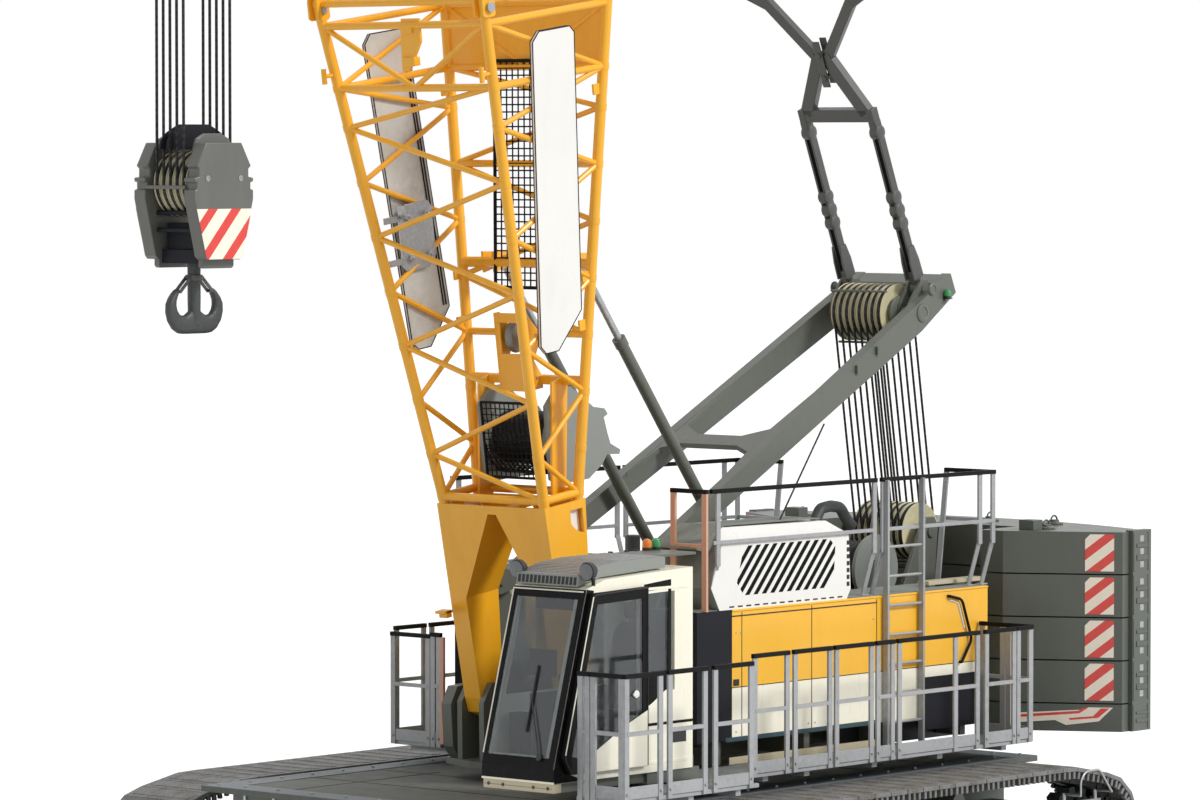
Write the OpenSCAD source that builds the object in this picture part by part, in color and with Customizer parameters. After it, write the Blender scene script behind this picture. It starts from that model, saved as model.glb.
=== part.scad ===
// Crawler crane with a lattice boom, +X forward, +Y left, +Z up.
// The origin is on the ground under the slewing centre.

/* [Crawlers] */
// Distance between the centre lines of the two crawlers
gauge = 5270; // [5000:10:5600]
// Width of a track shoe
shoe_w = 900; // [700:10:950]
// Distance from one track shoe to the next
shoe_pitch = 240; // [220:5:280]
// Gap between two shoes at their outer face
shoe_gap = 26; // [10:1:40]
// Height of the flat upper run above the ground
track_h = 1216; // [1150:2:1230]
// Distance from the slewing centre to each end wheel
wheel_x = 3420; // [3200:10:3600]
// Radius of the track round an end wheel
wheel_run_r = 560; // [520:5:590]
// Half length of the flat upper run
top_run_x = 2950; // [2600:10:3000]

/* [Undercarriage] */
// Top of the deck plates between the crawlers
deck_top = 1200; // [1150:5:1215]
// Half length of the deck
deck_x = 3600; // [3200:10:3700]
// Thickness of the deck plates
deck_t = 50; // [20:5:60]
// Outer radius of the slewing ring
ring_r = 1180; // [1000:10:1250]

/* [Upper frame] */
// Height of the underside of the upper frame
frame_z = 1330; // [1310:5:1400]
// Half width over the main girders
girder_y = 900; // [860:5:940]
// Width of a main girder
girder_w = 120; // [80:5:160]
// Top of the main girders
girder_top = 2080; // [1900:10:2200]
// Rear end of the side houses
house_rear = -3476; // [-3600:4:-3300]
// Front end of the side houses
house_front = 910; // [800:10:1000]
// Side of the houses, from the centre line
house_y = 1606; // [1560:2:1660]
// Inner side of the houses, from the centre line
house_in = 940; // [925:5:1000]
// Roof of the side houses
house_top = 2838; // [2700:2:2900]
// Line between the upper and the lower side panels
band_top = 2115; // [2000:5:2250]
// Lower edge of the side panels
band_low = 1626; // [1560:2:1700]

/* [Boom] */
// Height of the boom foot pin
foot_z = 1930; // [1850:5:2000]
// Distance from the slewing centre to the boom foot pin
foot_x = 1410; // [1350:5:1450]
// Angle of the boom above the ground, as stored
boom_angle = 82.1; // [80:0.1:84]
// Length of the foot section
foot_len = 6600; // [6500:10:6700]
// Length of each of the two middle sections
insert_len = 6000; // [5000:100:7000]
// Length of the head section
head_len = 6400; // [6000:100:7000]
// Distance between chord centres across the boom
boom_w = 2040; // [1800:10:2100]
// Distance between chord centres from front to back
boom_d = 1700; // [1500:10:1750]
// Diameter of the chord tubes
chord_d = 100; // [80:2:120]
// Diameter of the lacing tubes
lace_d = 52; // [40:2:70]
// Length of the plate part above the foot pin
plate_len = 1930; // [1800:10:2000]
// Distance between chord centres across the top of the plate part
plate_w = 1240; // [1200:10:1280]
// Distance between chord centres from front to back there
plate_d = 470; // [430:10:500]

/* [Gantry] */
// Height of the gantry foot pin
gantry_z = 3050; // [2950:5:3150]
// Distance from the slewing centre to the gantry foot pin
gantry_x = 1080; // [1040:5:1120]
// Slope of the line from the gantry foot pin to the rope head, as stored
gantry_angle = 26.8; // [26:0.1:28]
// Length of the gantry from foot pin to rope head
gantry_len = 5360; // [5200:10:5500]

/* [Counterweight] */
// Radius of the rear end
tail_r = 5550; // [5400:10:5700]
// Half width of the counterweight
weight_y = 2400; // [2300:10:2500]
// Height of one slab
slab_h = 424; // [380:2:440]
// Top of the base slab
base_top = 1652; // [1600:2:1700]

/* [Cab] */
// Front of the cab at its sill
cab_front = 3580; // [3400:10:3700]
// Rear wall of the cab
cab_rear = 1700; // [1600:10:1800]
// Inner side of the cab
cab_in = 1370; // [1300:5:1400]
// Outer side of the cab
cab_out = 2270; // [2200:5:2300]
// Lower edge of the cab
cab_z = 1530; // [1500:5:1600]
// Rear edge of the cab roof
cab_top = 3340; // [3250:5:3400]
// Thickness of the cab walls
wall = 50; // [35:1:60]

/* [Walkways] */
// Height of a guard rail above its floor
rail_h = 1100; // [1000:10:1150]
// Width of a rail post
post_w = 60; // [40:2:70]
// Height of the toe boards
toe_h = 110; // [80:5:150]

/* [Hook block] */
// Height of the hook block's sheave axle
block_z = 6790; // [5500:10:9000]
// Diameter of the hook block's sheaves
block_d = 580; // [500:10:640]
// Number of sheaves in the hook block
block_n = 5; // [3:1:6]

/* [Hidden] */
$fn = 32;

steel_grey = "#585b55";
deck_grey = "#5f6266";
shoe_grey = "#77797a";
boom_yellow = "#f5ad1c";
panel_yellow = "#ffbc1f";
cab_cream = "#f4f0dc";
frame_black = "#2b2c30";
alu = "#b9bcc0";
rope_black = "#2a2a2c";
sheave_cream = "#d8d2b4";

run_gap = 6;
seat_gap = 0.3;
pin_fit = 0.1;
track_y = gauge / 2;
track_in = track_y - shoe_w / 2;
boom_len = foot_len + 2 * insert_len + head_len;

// Helpers: a box by its corners, a tube between two points, plates drawn in a side or front view
module box(lo, hi) { translate(lo) cube(hi - lo); }

module tube(a, b, d, fn = 24) {
  v = b - a;
  translate(a)
    rotate([0, acos(v[2] / norm(v)), atan2(v[1], v[0])])
      cylinder(h = norm(v), d = d, $fn = fn);
}

module side_plate(points, y0, y1) {
  translate([0, y1, 0]) rotate([90, 0, 0]) linear_extrude(y1 - y0) polygon(points);
}

module front_plate(points, x0, x1) {
  translate([x0, 0, 0]) rotate([90, 0, 90]) linear_extrude(x1 - x0) polygon(points);
}

module flat_plate(points, z0, z1) {
  translate([0, 0, z0]) linear_extrude(z1 - z0) polygon(points);
}

module cross_pin(x, y0, y1, z, d, fn = 32) {
  translate([x, y1, z]) rotate([90, 0, 0]) cylinder(h = y1 - y0, d = d, $fn = fn);
}

module both_sides() {
  children();
  mirror([0, 1, 0]) children();
}

// The track's path: ground run, end arcs and the slanted and flat upper runs, by distance
slant_dx = wheel_x - top_run_x;
slant_dz = track_h - wheel_run_r;
slant_l = norm([slant_dx, slant_dz]);
slant_in = asin(wheel_run_r / slant_l);
slant_a = atan2(slant_dz, -slant_dx) - (90 - slant_in);
slant_run = slant_l * cos(slant_in);
arc_run = wheel_run_r * (slant_a + 90) * PI / 180;
lap = 2 * (wheel_x + arc_run + slant_run + top_run_x);
shoe_n = round(lap / shoe_pitch);
step = lap / shoe_n;

function quarter(s) =
  s < wheel_x ? [s, 0, -90]
  : s < wheel_x + arc_run ?
    let (a = -90 + (s - wheel_x) / wheel_run_r * 180 / PI)
    [wheel_x + wheel_run_r * cos(a), wheel_run_r + wheel_run_r * sin(a), a]
  : s < wheel_x + arc_run + slant_run ?
    let (t = s - wheel_x - arc_run)
    [wheel_x + wheel_run_r * cos(slant_a) - t * sin(slant_a),
     wheel_run_r + wheel_run_r * sin(slant_a) + t * cos(slant_a), slant_a]
  : [top_run_x - (s - wheel_x - arc_run - slant_run), track_h, 90];

function on_path(s) =
  s <= lap / 2 ? quarter(s) : let (q = quarter(lap - s)) [-q[0], q[1], 180 - q[2]];

function path_point(s, inset) =
  let (q = on_path((s + 2 * lap) % lap))
  [q[0] - inset * cos(q[2]), q[1] - inset * sin(q[2])];

link_d = 150;
wheel_seat_r = (wheel_run_r - link_d) * cos(step / wheel_run_r * 90 / PI) - seat_gap;

function shoe_outline() = [
  for (i = [0 : shoe_n - 1], k = [-1, 1])
    each let (s = i * step, h = step / 2 - shoe_gap / 2)
      k < 0 ? [path_point(s - h, 55), path_point(s - h, 0)] : [path_point(s + h, 0), path_point(s + h, 55)]
];

function chain_outline(inset) = [for (i = [0 : shoe_n - 1]) path_point((i + 0.5) * step, inset)];

module track(side) {
  translate([0, side * track_y, 0])
    difference() {
      side_plate(shoe_outline(), -shoe_w / 2, shoe_w / 2);
      side_plate(chain_outline(link_d), -shoe_w, shoe_w);
    }
}

module track_left() { color(shoe_grey) track(1); }
module track_right() { color(shoe_grey) track(-1); }

// Side frame with its rollers: the rollers' faces stay clear of the shoes
roller_r = 150;
roller_z = link_d + seat_gap + roller_r;
roller_n = 10;
roller_span = 5400;
carrier_z = track_h - link_d - seat_gap - 90;
end_plate_in = 215;

module side_frame(side) {
  translate([0, side * track_y, 0]) {
    side_plate([[-2780, 480], [-2560, 360], [2560, 360], [2780, 480], [2780, 800], [2500, 900],
                [-2500, 900], [-2780, 800]], -240, 240);
    for (x = [-1, 1])
      for (y = [-1, 1])
        side_plate([[x * 2700, 480], [x * 3200, 470], [x * 3560, 500], [x * 3560, 640], [x * 3200, 680],
                    [x * 2700, 800]], y * (end_plate_in + 25) - 25, y * (end_plate_in + 25) + 25);
    for (i = [0 : roller_n - 1])
      cross_pin(-roller_span / 2 + i * roller_span / (roller_n - 1), -190, 190, roller_z, 2 * roller_r);
    for (x = [-1500, 0, 1500]) {
      cross_pin(x, -150, 150, carrier_z, 180);
      box([x - 60, -100, 880], [x + 60, 100, carrier_z]);
    }
  }
}

module side_frame_left() { color(steel_grey) side_frame(1); }
module side_frame_right() { color(steel_grey) side_frame(-1); }

// Drive sprocket at the rear and idler wheel at the front, between the frame's end plates
function tooth_outline(r, teeth) = [
  for (i = [0 : teeth - 1], q = [[-0.32, -60], [-0.2, 0], [0.2, 0], [0.32, -60]])
    let (a = (i + q[0]) * 360 / teeth)
    [(r + q[1]) * cos(a), (r + q[1]) * sin(a)]
];

module sprocket(r, teeth, w) {
  rotate([90, 0, 0])
    difference() {
      union() {
        translate([0, 0, -w / 2]) linear_extrude(w) polygon(tooth_outline(r, teeth));
        translate([0, 0, seat_gap - end_plate_in]) cylinder(h = 2 * (end_plate_in - seat_gap), r = 170);
      }
      for (i = [0 : 5])
        rotate([0, 0, i * 60 + 30]) translate([r * 0.62, 0, -w]) cylinder(h = 2 * w, r = 40);
    }
}

module drive_sprockets() {
  color(steel_grey)
    for (y = [-1, 1]) translate([-wheel_x, y * track_y, wheel_run_r]) sprocket(wheel_seat_r, 13, 150);
}

module idler_wheels() {
  color(steel_grey)
    for (y = [-1, 1])
      translate([wheel_x, y * track_y, wheel_run_r])
        rotate([90, 0, 0])
          difference() {
            union() {
              translate([0, 0, -90]) cylinder(h = 180, r = wheel_seat_r, $fn = 48);
              translate([0, 0, seat_gap - end_plate_in]) cylinder(h = 2 * (end_plate_in - seat_gap), r = 130);
            }
            for (z = [-100, 50]) translate([0, 0, z]) difference() {
              cylinder(h = 50, r = 320);
              translate([0, 0, -1]) cylinder(h = 52, r = 170);
            }
          }
}

// Carbody: centre box with the lower half of the slewing ring and four arms to the side frames
ring_low = 1010;
ring_split = 1265;

module carbody() {
  color(steel_grey) {
    difference() {
      flat_plate([[-1500, -1300], [-1100, -1500], [1100, -1500], [1500, -1300], [1500, 1300],
                  [1100, 1500], [-1100, 1500], [-1500, 1300]], 420, ring_low);
      translate([0, 0, 300]) cylinder(h = 1100, r = 420, $fn = 48);
    }
    for (x = [-1, 1])
      for (y = [-1, 1])
        front_plate([[y * 1250, 460], [y * (track_y - 240), 560], [y * (track_y - 240), 880],
                     [y * 1250, ring_low - 20]], x * 1100 - 260, x * 1100 + 260);
    translate([0, 0, ring_low - 10])
      difference() {
        cylinder(h = ring_split - ring_low + 10, r = ring_r, $fn = 96);
        translate([0, 0, -1]) cylinder(h = 400, r = ring_r - 260, $fn = 96);
      }
  }
}

module deck_plates() {
  color(deck_grey)
    difference() {
      flat_plate([[-deck_x, -track_in + 60], [deck_x, -track_in + 60], [deck_x, track_in - 60],
                  [-deck_x, track_in - 60]], deck_top - deck_t, deck_top);
      translate([0, 0, deck_top - 2 * deck_t]) cylinder(h = 4 * deck_t, r = ring_r + seat_gap, $fn = 96);
    }
}

module carbody_weights() {
  color(steel_grey)
    for (x = [-1, 1])
      flat_plate([[x * 1560, -1750], [x * (deck_x - 40), -1750], [x * (deck_x - 40), 1750], [x * 1560, 1750]],
                 560, deck_top - deck_t);
}

// Upper frame: two girders on the slewing ring, cross beams, lugs of the boom and the gantry
leg_out = 670;
leg_in = 470;
lug_t = 60;
lug_gap = 8;
gantry_skew = 0.034;
gantry_out0 = 741;
arm_w = 114;
arm_d = 285;
gantry_foot_out = gantry_out0 + gantry_skew * gantry_x;
foot_pin_d = 140;
gantry_pin_d = 120;
stop_x = -1120;
stop_y = 480;
stop_z = 2950;
stop_eye_w = 90;
stop_pin_d = 70;
skin = 60;
outrigger_x = [-3200, -2000, -800, 500];

module main_frame() {
  color(steel_grey) {
    translate([0, 0, ring_split + 0.5])
      difference() {
        cylinder(h = frame_z - ring_split, r = ring_r, $fn = 96);
        translate([0, 0, -1]) cylinder(h = 400, r = ring_r - 300, $fn = 96);
      }
    difference() {
      flat_plate([[house_rear - 300, -house_in + 20], [1560, -house_in + 20], [1700, -500], [1700, 500],
                  [1560, house_in - 20], [house_rear - 300, house_in - 20]], frame_z, frame_z + 60);
      translate([0, 0, frame_z - 50]) cylinder(h = 200, r = 360, $fn = 48);
    }
    both_sides() {
      side_plate([[house_rear - 300, frame_z + 20], [1500, frame_z + 20], [1620, 1500], [1650, 1900],
                  [1560, 2060], [1300, girder_top], [house_rear, girder_top],
                  [house_rear - 300, girder_top - 300]], girder_y - girder_w, girder_y);
      for (y = [leg_in - lug_gap - lug_t, leg_out + lug_gap])
        side_plate([[foot_x - 420, frame_z + 20], [foot_x + 190, frame_z + 20], [foot_x + 200, foot_z],
                    [foot_x + 80, foot_z + 180], [foot_x - 100, foot_z + 180],
                    [foot_x - 240, foot_z]], y, y + lug_t);
      cross_pin(foot_x, leg_in - lug_gap - lug_t - 40, leg_out + lug_gap + lug_t + 40, foot_z,
                foot_pin_d - 2 * pin_fit, 48);
      gantry_lug();
      stop_bracket();
    }
    for (x = [-3300, -1500, 100])
      box([x, -girder_y + 20, frame_z + 20], [x + 200, girder_y - 20, frame_z + 420]);
    both_sides()
      for (x = outrigger_x) {
        box([x, girder_y - 20, 1400 + seat_gap], [x + 80, house_y - skin - seat_gap, 1560]);
        box([x, house_y - skin - 100, 1540], [x + 80, house_y - skin - seat_gap, band_low + 150]);
      }
    box([stop_x - 260, -girder_y + 20, girder_top - 200], [stop_x + 260, girder_y - 20, girder_top]);
  }
}

// Backstop bracket: two plates on a cross beam, with the pin of the tube between them
module stop_bracket() {
  for (y = [stop_y - stop_eye_w / 2 - run_gap - 30, stop_y + stop_eye_w / 2 + run_gap])
    side_plate([[stop_x - 240, girder_top - 20], [stop_x + 240, girder_top - 20], [stop_x + 70, stop_z + 85],
                [stop_x - 70, stop_z + 85]], y, y + 30);
  cross_pin(stop_x, stop_y - stop_eye_w / 2 - run_gap - 50, stop_y + stop_eye_w / 2 + run_gap + 50, stop_z,
            stop_pin_d - 2 * pin_fit, 48);
}

// Gantry lug: a tall bracket on the girder with the pin in its head
module gantry_lug() {
  side_plate([[gantry_x - 700, girder_top - 40], [gantry_x + 260, girder_top - 40],
              [gantry_x + 170, gantry_z], [gantry_x + 90, gantry_z + 140], [gantry_x - 90, gantry_z + 140],
              [gantry_x - 190, gantry_z]], gantry_foot_out + 8, gantry_foot_out + 62);
  side_plate([[gantry_x - 700, girder_top - 40], [gantry_x - 360, girder_top - 40],
              [gantry_x - 160, gantry_z - 120], [gantry_x - 190, gantry_z]],
             gantry_foot_out + 8, gantry_foot_out + 120);
  cross_pin(gantry_x, gantry_foot_out - arm_w - 30, gantry_foot_out + 90, gantry_z, gantry_pin_d - 2 * pin_fit, 48);
}

// Side houses: a hollow body in three colours on each side, open towards the girders
module house_part(x0, x1, z0, z1, top) {
  both_sides() {
    difference() {
      box([x0, house_in, z0], [x1, house_y, z1]);
      box([x0 + skin, house_in - 1, z0 - 1], [x1 - skin, house_y - skin, top ? z1 - skin : z1 + 1]);
    }
  }
}

strip_front = house_front;
strip_rear = house_front - 494;

module panels_upper() { color(panel_yellow) house_part(house_rear, strip_rear, band_top, house_top, true); }
module panels_lower() { color(cab_cream) house_part(house_rear, strip_rear, band_low, band_top, false); }
module panels_front() {
  color(frame_black) house_part(strip_rear, strip_front, band_low, house_top, true);
}

// Engine housing with slanted louvres, on the left house; a plain one stands on the right
housing_side = [[580, 2838], [700, 3050], [530, 3490], [420, 3590], [-1140, 3580], [-1320, 3460],
                [-1350, 2930], [-1290, 2838]];
housing_front = [[house_in + 10, 2838], [house_y - 6, 2838], [house_y - 6, 3440], [house_y - 160, 3600],
                 [house_in + 10, 3600]];
slot_n = 13;
slot_tilt = 42;

module housing_form() {
  intersection() {
    side_plate(housing_side, house_in, house_y);
    front_plate(housing_front, -1400, 800);
  }
}

module louvre_slots() {
  for (i = [0 : slot_n - 1])
    intersection() {
      side_plate([[-1090, 2960], [230, 2960], [330, 3080], [230, 3420], [-1040, 3420], [-1120, 3340]],
                 house_y - 80, house_y + 20);
      translate([-860 + i * 122, house_y - 50, 2860]) rotate([0, -slot_tilt, 0]) cube([50, 80, 900]);
    }
}

module louvre_housing() {
  color("#f2f2ee")
    difference() {
      housing_form();
      louvre_slots();
    }
}

module right_housing() { color("#f2f2ee") mirror([0, 1, 0]) housing_form(); }

// Rear deck over the girders, with the winches standing in the open bay between the houses
module rear_deck() {
  color(steel_grey) {
    box([house_rear, -girder_y, girder_top], [-2900, girder_y, girder_top + 60]);
    both_sides()
      side_plate([[-3420, girder_top + 60], [-2900, girder_top + 60], [-3000, 2700], [-3420, 2700]],
                 girder_y - 260, girder_y - 200);
  }
}

winch_x = [-2350, -150];
winch_z = 2560;
drum_r = 330;

module winch(x, z, r, half) {
  cross_pin(x, -half, half, z, 2 * r, 48);
  for (y = [-half - 40, half]) cross_pin(x, y, y + 40, z, 2 * (r + 90), 48);
  both_sides()
    side_plate([[x - r - 60, girder_top - 30], [x + r + 60, girder_top - 30], [x + 140, z + 120],
                [x - 140, z + 120]], half + 40, half + 90);
}

module hoist_winches() {
  color(steel_grey)
    for (x = winch_x) {
      winch(x, winch_z, drum_r, 480);
      box([x - 390, -girder_y + girder_w, girder_top - 80], [x + 390, girder_y - girder_w, girder_top - 20]);
    }
}

luff_drum_x = -3180;
luff_drum_z = 2960;

module luffing_winch() {
  color(steel_grey) {
    cross_pin(luff_drum_x, -420, 420, luff_drum_z, 500, 48);
    for (y = [-460, 420]) cross_pin(luff_drum_x, y, y + 40, luff_drum_z, 680, 48);
    both_sides()
      side_plate([[luff_drum_x - 200, girder_top + 60], [luff_drum_x + 230, girder_top + 60],
                  [luff_drum_x + 100, luff_drum_z + 100], [luff_drum_x - 100, luff_drum_z + 100]], 460, 520);
  }
}

low_x = -4060;
low_z = 3280;
luff_sheave_d = 570;
luff_n = 8;
luff_pitch = 80;

module sheave(d, w, rim = 26) {
  rotate([90, 0, 0])
    rotate_extrude($fn = 48)
      polygon([[30, -w / 2], [d / 2 - rim, -w * 0.3], [d / 2, -w / 2], [d / 2 - rim * 0.9, 0], [d / 2, w / 2],
               [d / 2 - rim, w * 0.3], [30, w / 2]]);
}

module sheave_pack(x, z, d, n, pitch, axle) {
  translate([x, 0, z]) {
    for (i = [0 : n - 1]) translate([0, (i - (n - 1) / 2) * pitch, 0]) sheave(d, pitch - 8);
    rotate([90, 0, 0]) cylinder(h = 2 * axle, d = 110, center = true);
  }
}

module luffing_sheaves() {
  color(sheave_cream) {
    sheave_pack(low_x, low_z, luff_sheave_d, luff_n, luff_pitch, 470);
    both_sides()
      side_plate([[house_rear - 290, girder_top - 300], [house_rear - seat_gap, girder_top],
                  [house_rear - seat_gap, 2500], [low_x + 110, low_z + 110], [low_x - 110, low_z + 60], [low_x - 60, 2700]], 400, 450);
    both_sides() box([house_rear - 300, 400, girder_top - 320], [house_rear, girder_y - girder_w, girder_top - 60]);
  }
}

head_x = gantry_x - gantry_len * cos(gantry_angle);
head_z = gantry_z + gantry_len * sin(gantry_angle);
fall_r = luff_sheave_d / 2 - 10;
head_axle_d = 120;
pend_y = 430;
pend_x = -3860;
pend_z = 5700;
pend_eye_w = 90;
pend_pin_d = 80;

module luffing_ropes() {
  color(rope_black) {
    v = [head_x - low_x, 0, head_z - low_z];
    n = [v[2], 0, -v[0]] / norm(v);
    for (i = [0 : luff_n - 1], k = [-1, 1])
      translate([0, (i - (luff_n - 1) / 2) * luff_pitch, 0])
        tube([low_x, 0, low_z] + k * fall_r * n + 0.01 * v, [head_x, 0, head_z] + k * fall_r * n - 0.01 * v, 24, 8);
  }
}

// Counterweight: a base slab and four equal slabs with a rounded tail and a bay for the rope sheaves
weight_front = -4020;
weight_side_x = -4610;
weight_in_y = 1380;
bay_y = 1100;
bay_x = -4620;
tail_x = -sqrt(tail_r * tail_r - weight_y * weight_y);

function tail_arc(n) = [
  for (i = [0 : n])
    let (a = asin(weight_y / tail_r) * (1 - 2 * i / n))
    [-tail_r * cos(a), tail_r * sin(a)]
];

function slab_outline() = concat(
  [[bay_x, -bay_y], [bay_x, bay_y], [weight_front, bay_y], [weight_front, weight_in_y], [weight_side_x, weight_y]],
  tail_arc(16),
  [[weight_side_x, -weight_y], [weight_front, -weight_in_y], [weight_front, -bay_y]]
);

module slab(i) {
  z = base_top + i * slab_h;
  color(steel_grey) {
    flat_plate(slab_outline(), z, z + slab_h - 14);
    both_sides()
      box([tail_x - 20, weight_y - 40, z], [weight_side_x - 110, weight_y + 45, z + slab_h]);
  }
}

module weight_1() { slab(0); }
module weight_2() { slab(1); }
module weight_3() { slab(2); }
module weight_4() { slab(3); }

module weight_base() {
  color(steel_grey) {
    flat_plate(slab_outline(), 1370, base_top - 14);
    both_sides() box([tail_x - 20, weight_y - 40, 1370], [weight_side_x - 110, weight_y + 45, base_top]);
    box([bay_x - 20, -bay_y, 1420], [house_rear - 300 - seat_gap, bay_y, base_top - 14]);
  }
}

// Walkways with posts, toe boards and rails; each run is [x0, x1, y0, y1, floor]
cab_walk = [1530, 3360, 2310, 2860, 1310];
side_walk = [-3320, 1530, 1626, 2260, 1405];
floor_t = 50;
rail_d = 38;

module walk_floor(w) { box([w[0], w[2], w[4] - floor_t], [w[1], w[3], w[4]]); }

module rail_side(x0, x1, y, z, posts) {
  for (i = [0 : posts])
    let (x = x0 + (x1 - x0) * i / posts)
      box([x - post_w / 2, y - 12, z - floor_t], [x + post_w / 2, y + 12, z + rail_h - 10]);
  box([x0, y - 8, z], [x1, y + 8, z + toe_h]);
  tube([x0, y, z + rail_h / 2], [x1, y, z + rail_h / 2], 30, 12);
  tube([x0 - 20, y, z + rail_h - 20], [x1 + 20, y, z + rail_h - 20], rail_d, 12);
}

module rail_end(x, y0, y1, z) {
  for (y = [y0 + post_w / 2, y1 - post_w / 2])
    box([x - 12, y - post_w / 2, z - floor_t], [x + 12, y + post_w / 2, z + rail_h - 10]);
  box([x - 8, y0, z], [x + 8, y1, z + toe_h]);
  tube([x, y0, z + rail_h / 2], [x, y1, z + rail_h / 2], 30, 12);
  tube([x, y0, z + rail_h - 20], [x, y1, z + rail_h - 20], rail_d, 12);
}

module walkway_left() {
  color(alu) {
    walk_floor(cab_walk);
    walk_floor(side_walk);
    box([1530, 1640, 1310 - floor_t], [1690, 2320, 1405]);
    for (x = outrigger_x) box([x, 1400, 1355], [x + 80, 1640, 1400]);
  }
}

module railing_left() {
  color(alu) {
    rail_side(cab_walk[0] + 40, cab_walk[1], cab_walk[3] + 12, cab_walk[4], 4);
    rail_end(cab_walk[1] + 12, cab_walk[2], cab_walk[3] + 24, cab_walk[4]);
    rail_side(side_walk[0], side_walk[1] - 60, side_walk[3] + 12, side_walk[4], 8);
    rail_end(side_walk[0] - 12, side_walk[2] + 30, side_walk[3] + 24, side_walk[4]);
  }
}

right_walk = [-3320, 850, 1626, 2260, 1405];

module walkway_right() {
  color(alu) mirror([0, 1, 0]) {
    walk_floor(right_walk);
    for (x = outrigger_x) box([x, 1400, 1355], [x + 80, 1640, 1400]);
  }
}

module railing_right() {
  color(alu) mirror([0, 1, 0]) {
    rail_side(right_walk[0], right_walk[1], right_walk[3] + 12, right_walk[4], 8);
    rail_end(right_walk[0] - 12, right_walk[2] + 30, right_walk[3] + 24, right_walk[4]);
    rail_end(right_walk[1] + 12, right_walk[2] + 30, right_walk[3] + 24, right_walk[4]);
  }
}

// Roof rails: their posts are clamped to the outside of the houses; a ladder leads up on the left
roof_z = 2885;
roof_rail_y = house_y + seat_gap + 12;
roof_x0 = house_rear - 80;
roof_x1 = 730;
roof_posts = [590, 330, -1720, -2830, -3350, -3540];
ladder_x = [-2386, -1838];
rung_n = 9;

module roof_rail() {
  for (x = roof_posts)
    box([x - post_w / 2, roof_rail_y - 12, house_top - 300], [x + post_w / 2, roof_rail_y + 12, roof_z + rail_h - 20]);
  for (x = [roof_x0, roof_x1])
    tube([x, house_in + 60, roof_z + rail_h - 30], [x, roof_rail_y, roof_z + rail_h - 30], rail_d, 12);
  tube([roof_x0, roof_rail_y, roof_z + rail_h - 30], [roof_x1, roof_rail_y, roof_z + rail_h - 30], rail_d, 12);
  tube([roof_x0, roof_rail_y, roof_z + rail_h / 2], [roof_x1, roof_rail_y, roof_z + rail_h / 2], 30, 12);
  for (x = [roof_x0, roof_x1])
    box([x - 12, house_in + 40, house_top + seat_gap], [x + 12, house_in + 40 + post_w, roof_z + rail_h - 20]);
}

module roof_railings() {
  color(alu) {
    both_sides() roof_rail();
    for (x = ladder_x)
      box([x - 20, house_y + seat_gap, side_walk[4] + seat_gap], [x + 20, house_y + 70, roof_z + rail_h]);
    for (i = [0 : rung_n - 1])
      tube([ladder_x[0], house_y + 50, side_walk[4] + 200 + i * 280],
           [ladder_x[1], house_y + 50, side_walk[4] + 200 + i * 280], 30, 12);
  }
}

// Cab: a hollow shell of its side outline, with all windows and the doorway cut through
cab_side = [[cab_rear, cab_z], [cab_front - 40, cab_z], [cab_front, cab_z + 120], [3135, 3220], [2900, 3290],
            [cab_rear, cab_top]];
cab_inner = [[cab_rear + wall, cab_z + wall], [cab_front - 90, cab_z + wall], [cab_front - 60, cab_z + 160],
             [3080, 3160], [2880, 3235], [cab_rear + wall, cab_top - wall]];
door_x0 = 2370;
door_x1 = 3430;
door_t = 40;
door_gap = 6;
rail_out = cab_out - door_t - seat_gap;

function cab_roof(x) = cab_top - (cab_top - 3290) * (x - cab_rear) / (2900 - cab_rear);
function cab_brow(x) = 3290 - 70 * (x - 2900) / 235;

module cab_shell() {
  color(cab_cream)
    difference() {
      side_plate(cab_side, cab_in, cab_out - door_t - door_gap);
      side_plate(cab_inner, cab_in + wall, cab_out - door_t - door_gap - wall);
      side_plate([[2420, 1640], [3360, 1640], [3440, 1760], [3060, 3120], [2420, 3150]], cab_in + 200, cab_out + 1);
      side_plate([[1950, 2250], [2330, 2250], [2330, 3130], [1950, 3140]], cab_in + 200, cab_out + 1);
      side_plate([[1950, 2250], [3330, 2250], [3130, 3110], [1950, 3140]], cab_in - 1, cab_in + 200);
      front_plate([[cab_in + 80, 1760], [cab_out - 170, 1760], [cab_out - 170, 3130], [cab_in + 80, 3130]],
                  2950, cab_front + 100);
      front_plate([[cab_in + 120, 2300], [cab_out - 210, 2300], [cab_out - 210, 3130], [cab_in + 120, 3130]],
                  cab_rear - 10, cab_rear + 200);
      flat_plate([[2100, cab_in + 150], [2780, cab_in + 150], [2780, cab_out - 240], [2100, cab_out - 240]],
                 3150, 3500);
    }
  color(cab_cream) {
    box([1760, rail_out - 20, 1602], [3380, rail_out, 1628]);
    box([1760, rail_out - 20, 3160], [3050, rail_out, 3185]);
  }
}

module cab_door() {
  color(frame_black)
    difference() {
      side_plate([[door_x0, 1600], [3400, 1600], [3500, 1760], [3110, 3180], [door_x0, 3200]],
                 cab_out - door_t, cab_out);
      side_plate([[door_x0 + 70, 2080], [2900, 1850], [3120, 1700], [3390, 1760], [3050, 3080],
                  [door_x0 + 70, 3100]], cab_out - 200, cab_out + 10);
    }
}

module cab_seat() {
  color(frame_black) {
    box([2150, 1580, cab_z + wall + seat_gap], [2500, 1980, 1900]);
    box([2050, 1530, 1900], [2600, 2030, 2040]);
    side_plate([[2020, 2040], [2170, 2040], [2060, 2860], [1930, 2860]], 1560, 2000);
    for (y = [1440, 2060]) box([2120, y, cab_z + wall + seat_gap], [2700, y + 80, 2180]);
    box([2120, 1440, cab_z + wall + seat_gap], [2300, 2140, 1700]);
  }
}

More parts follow.
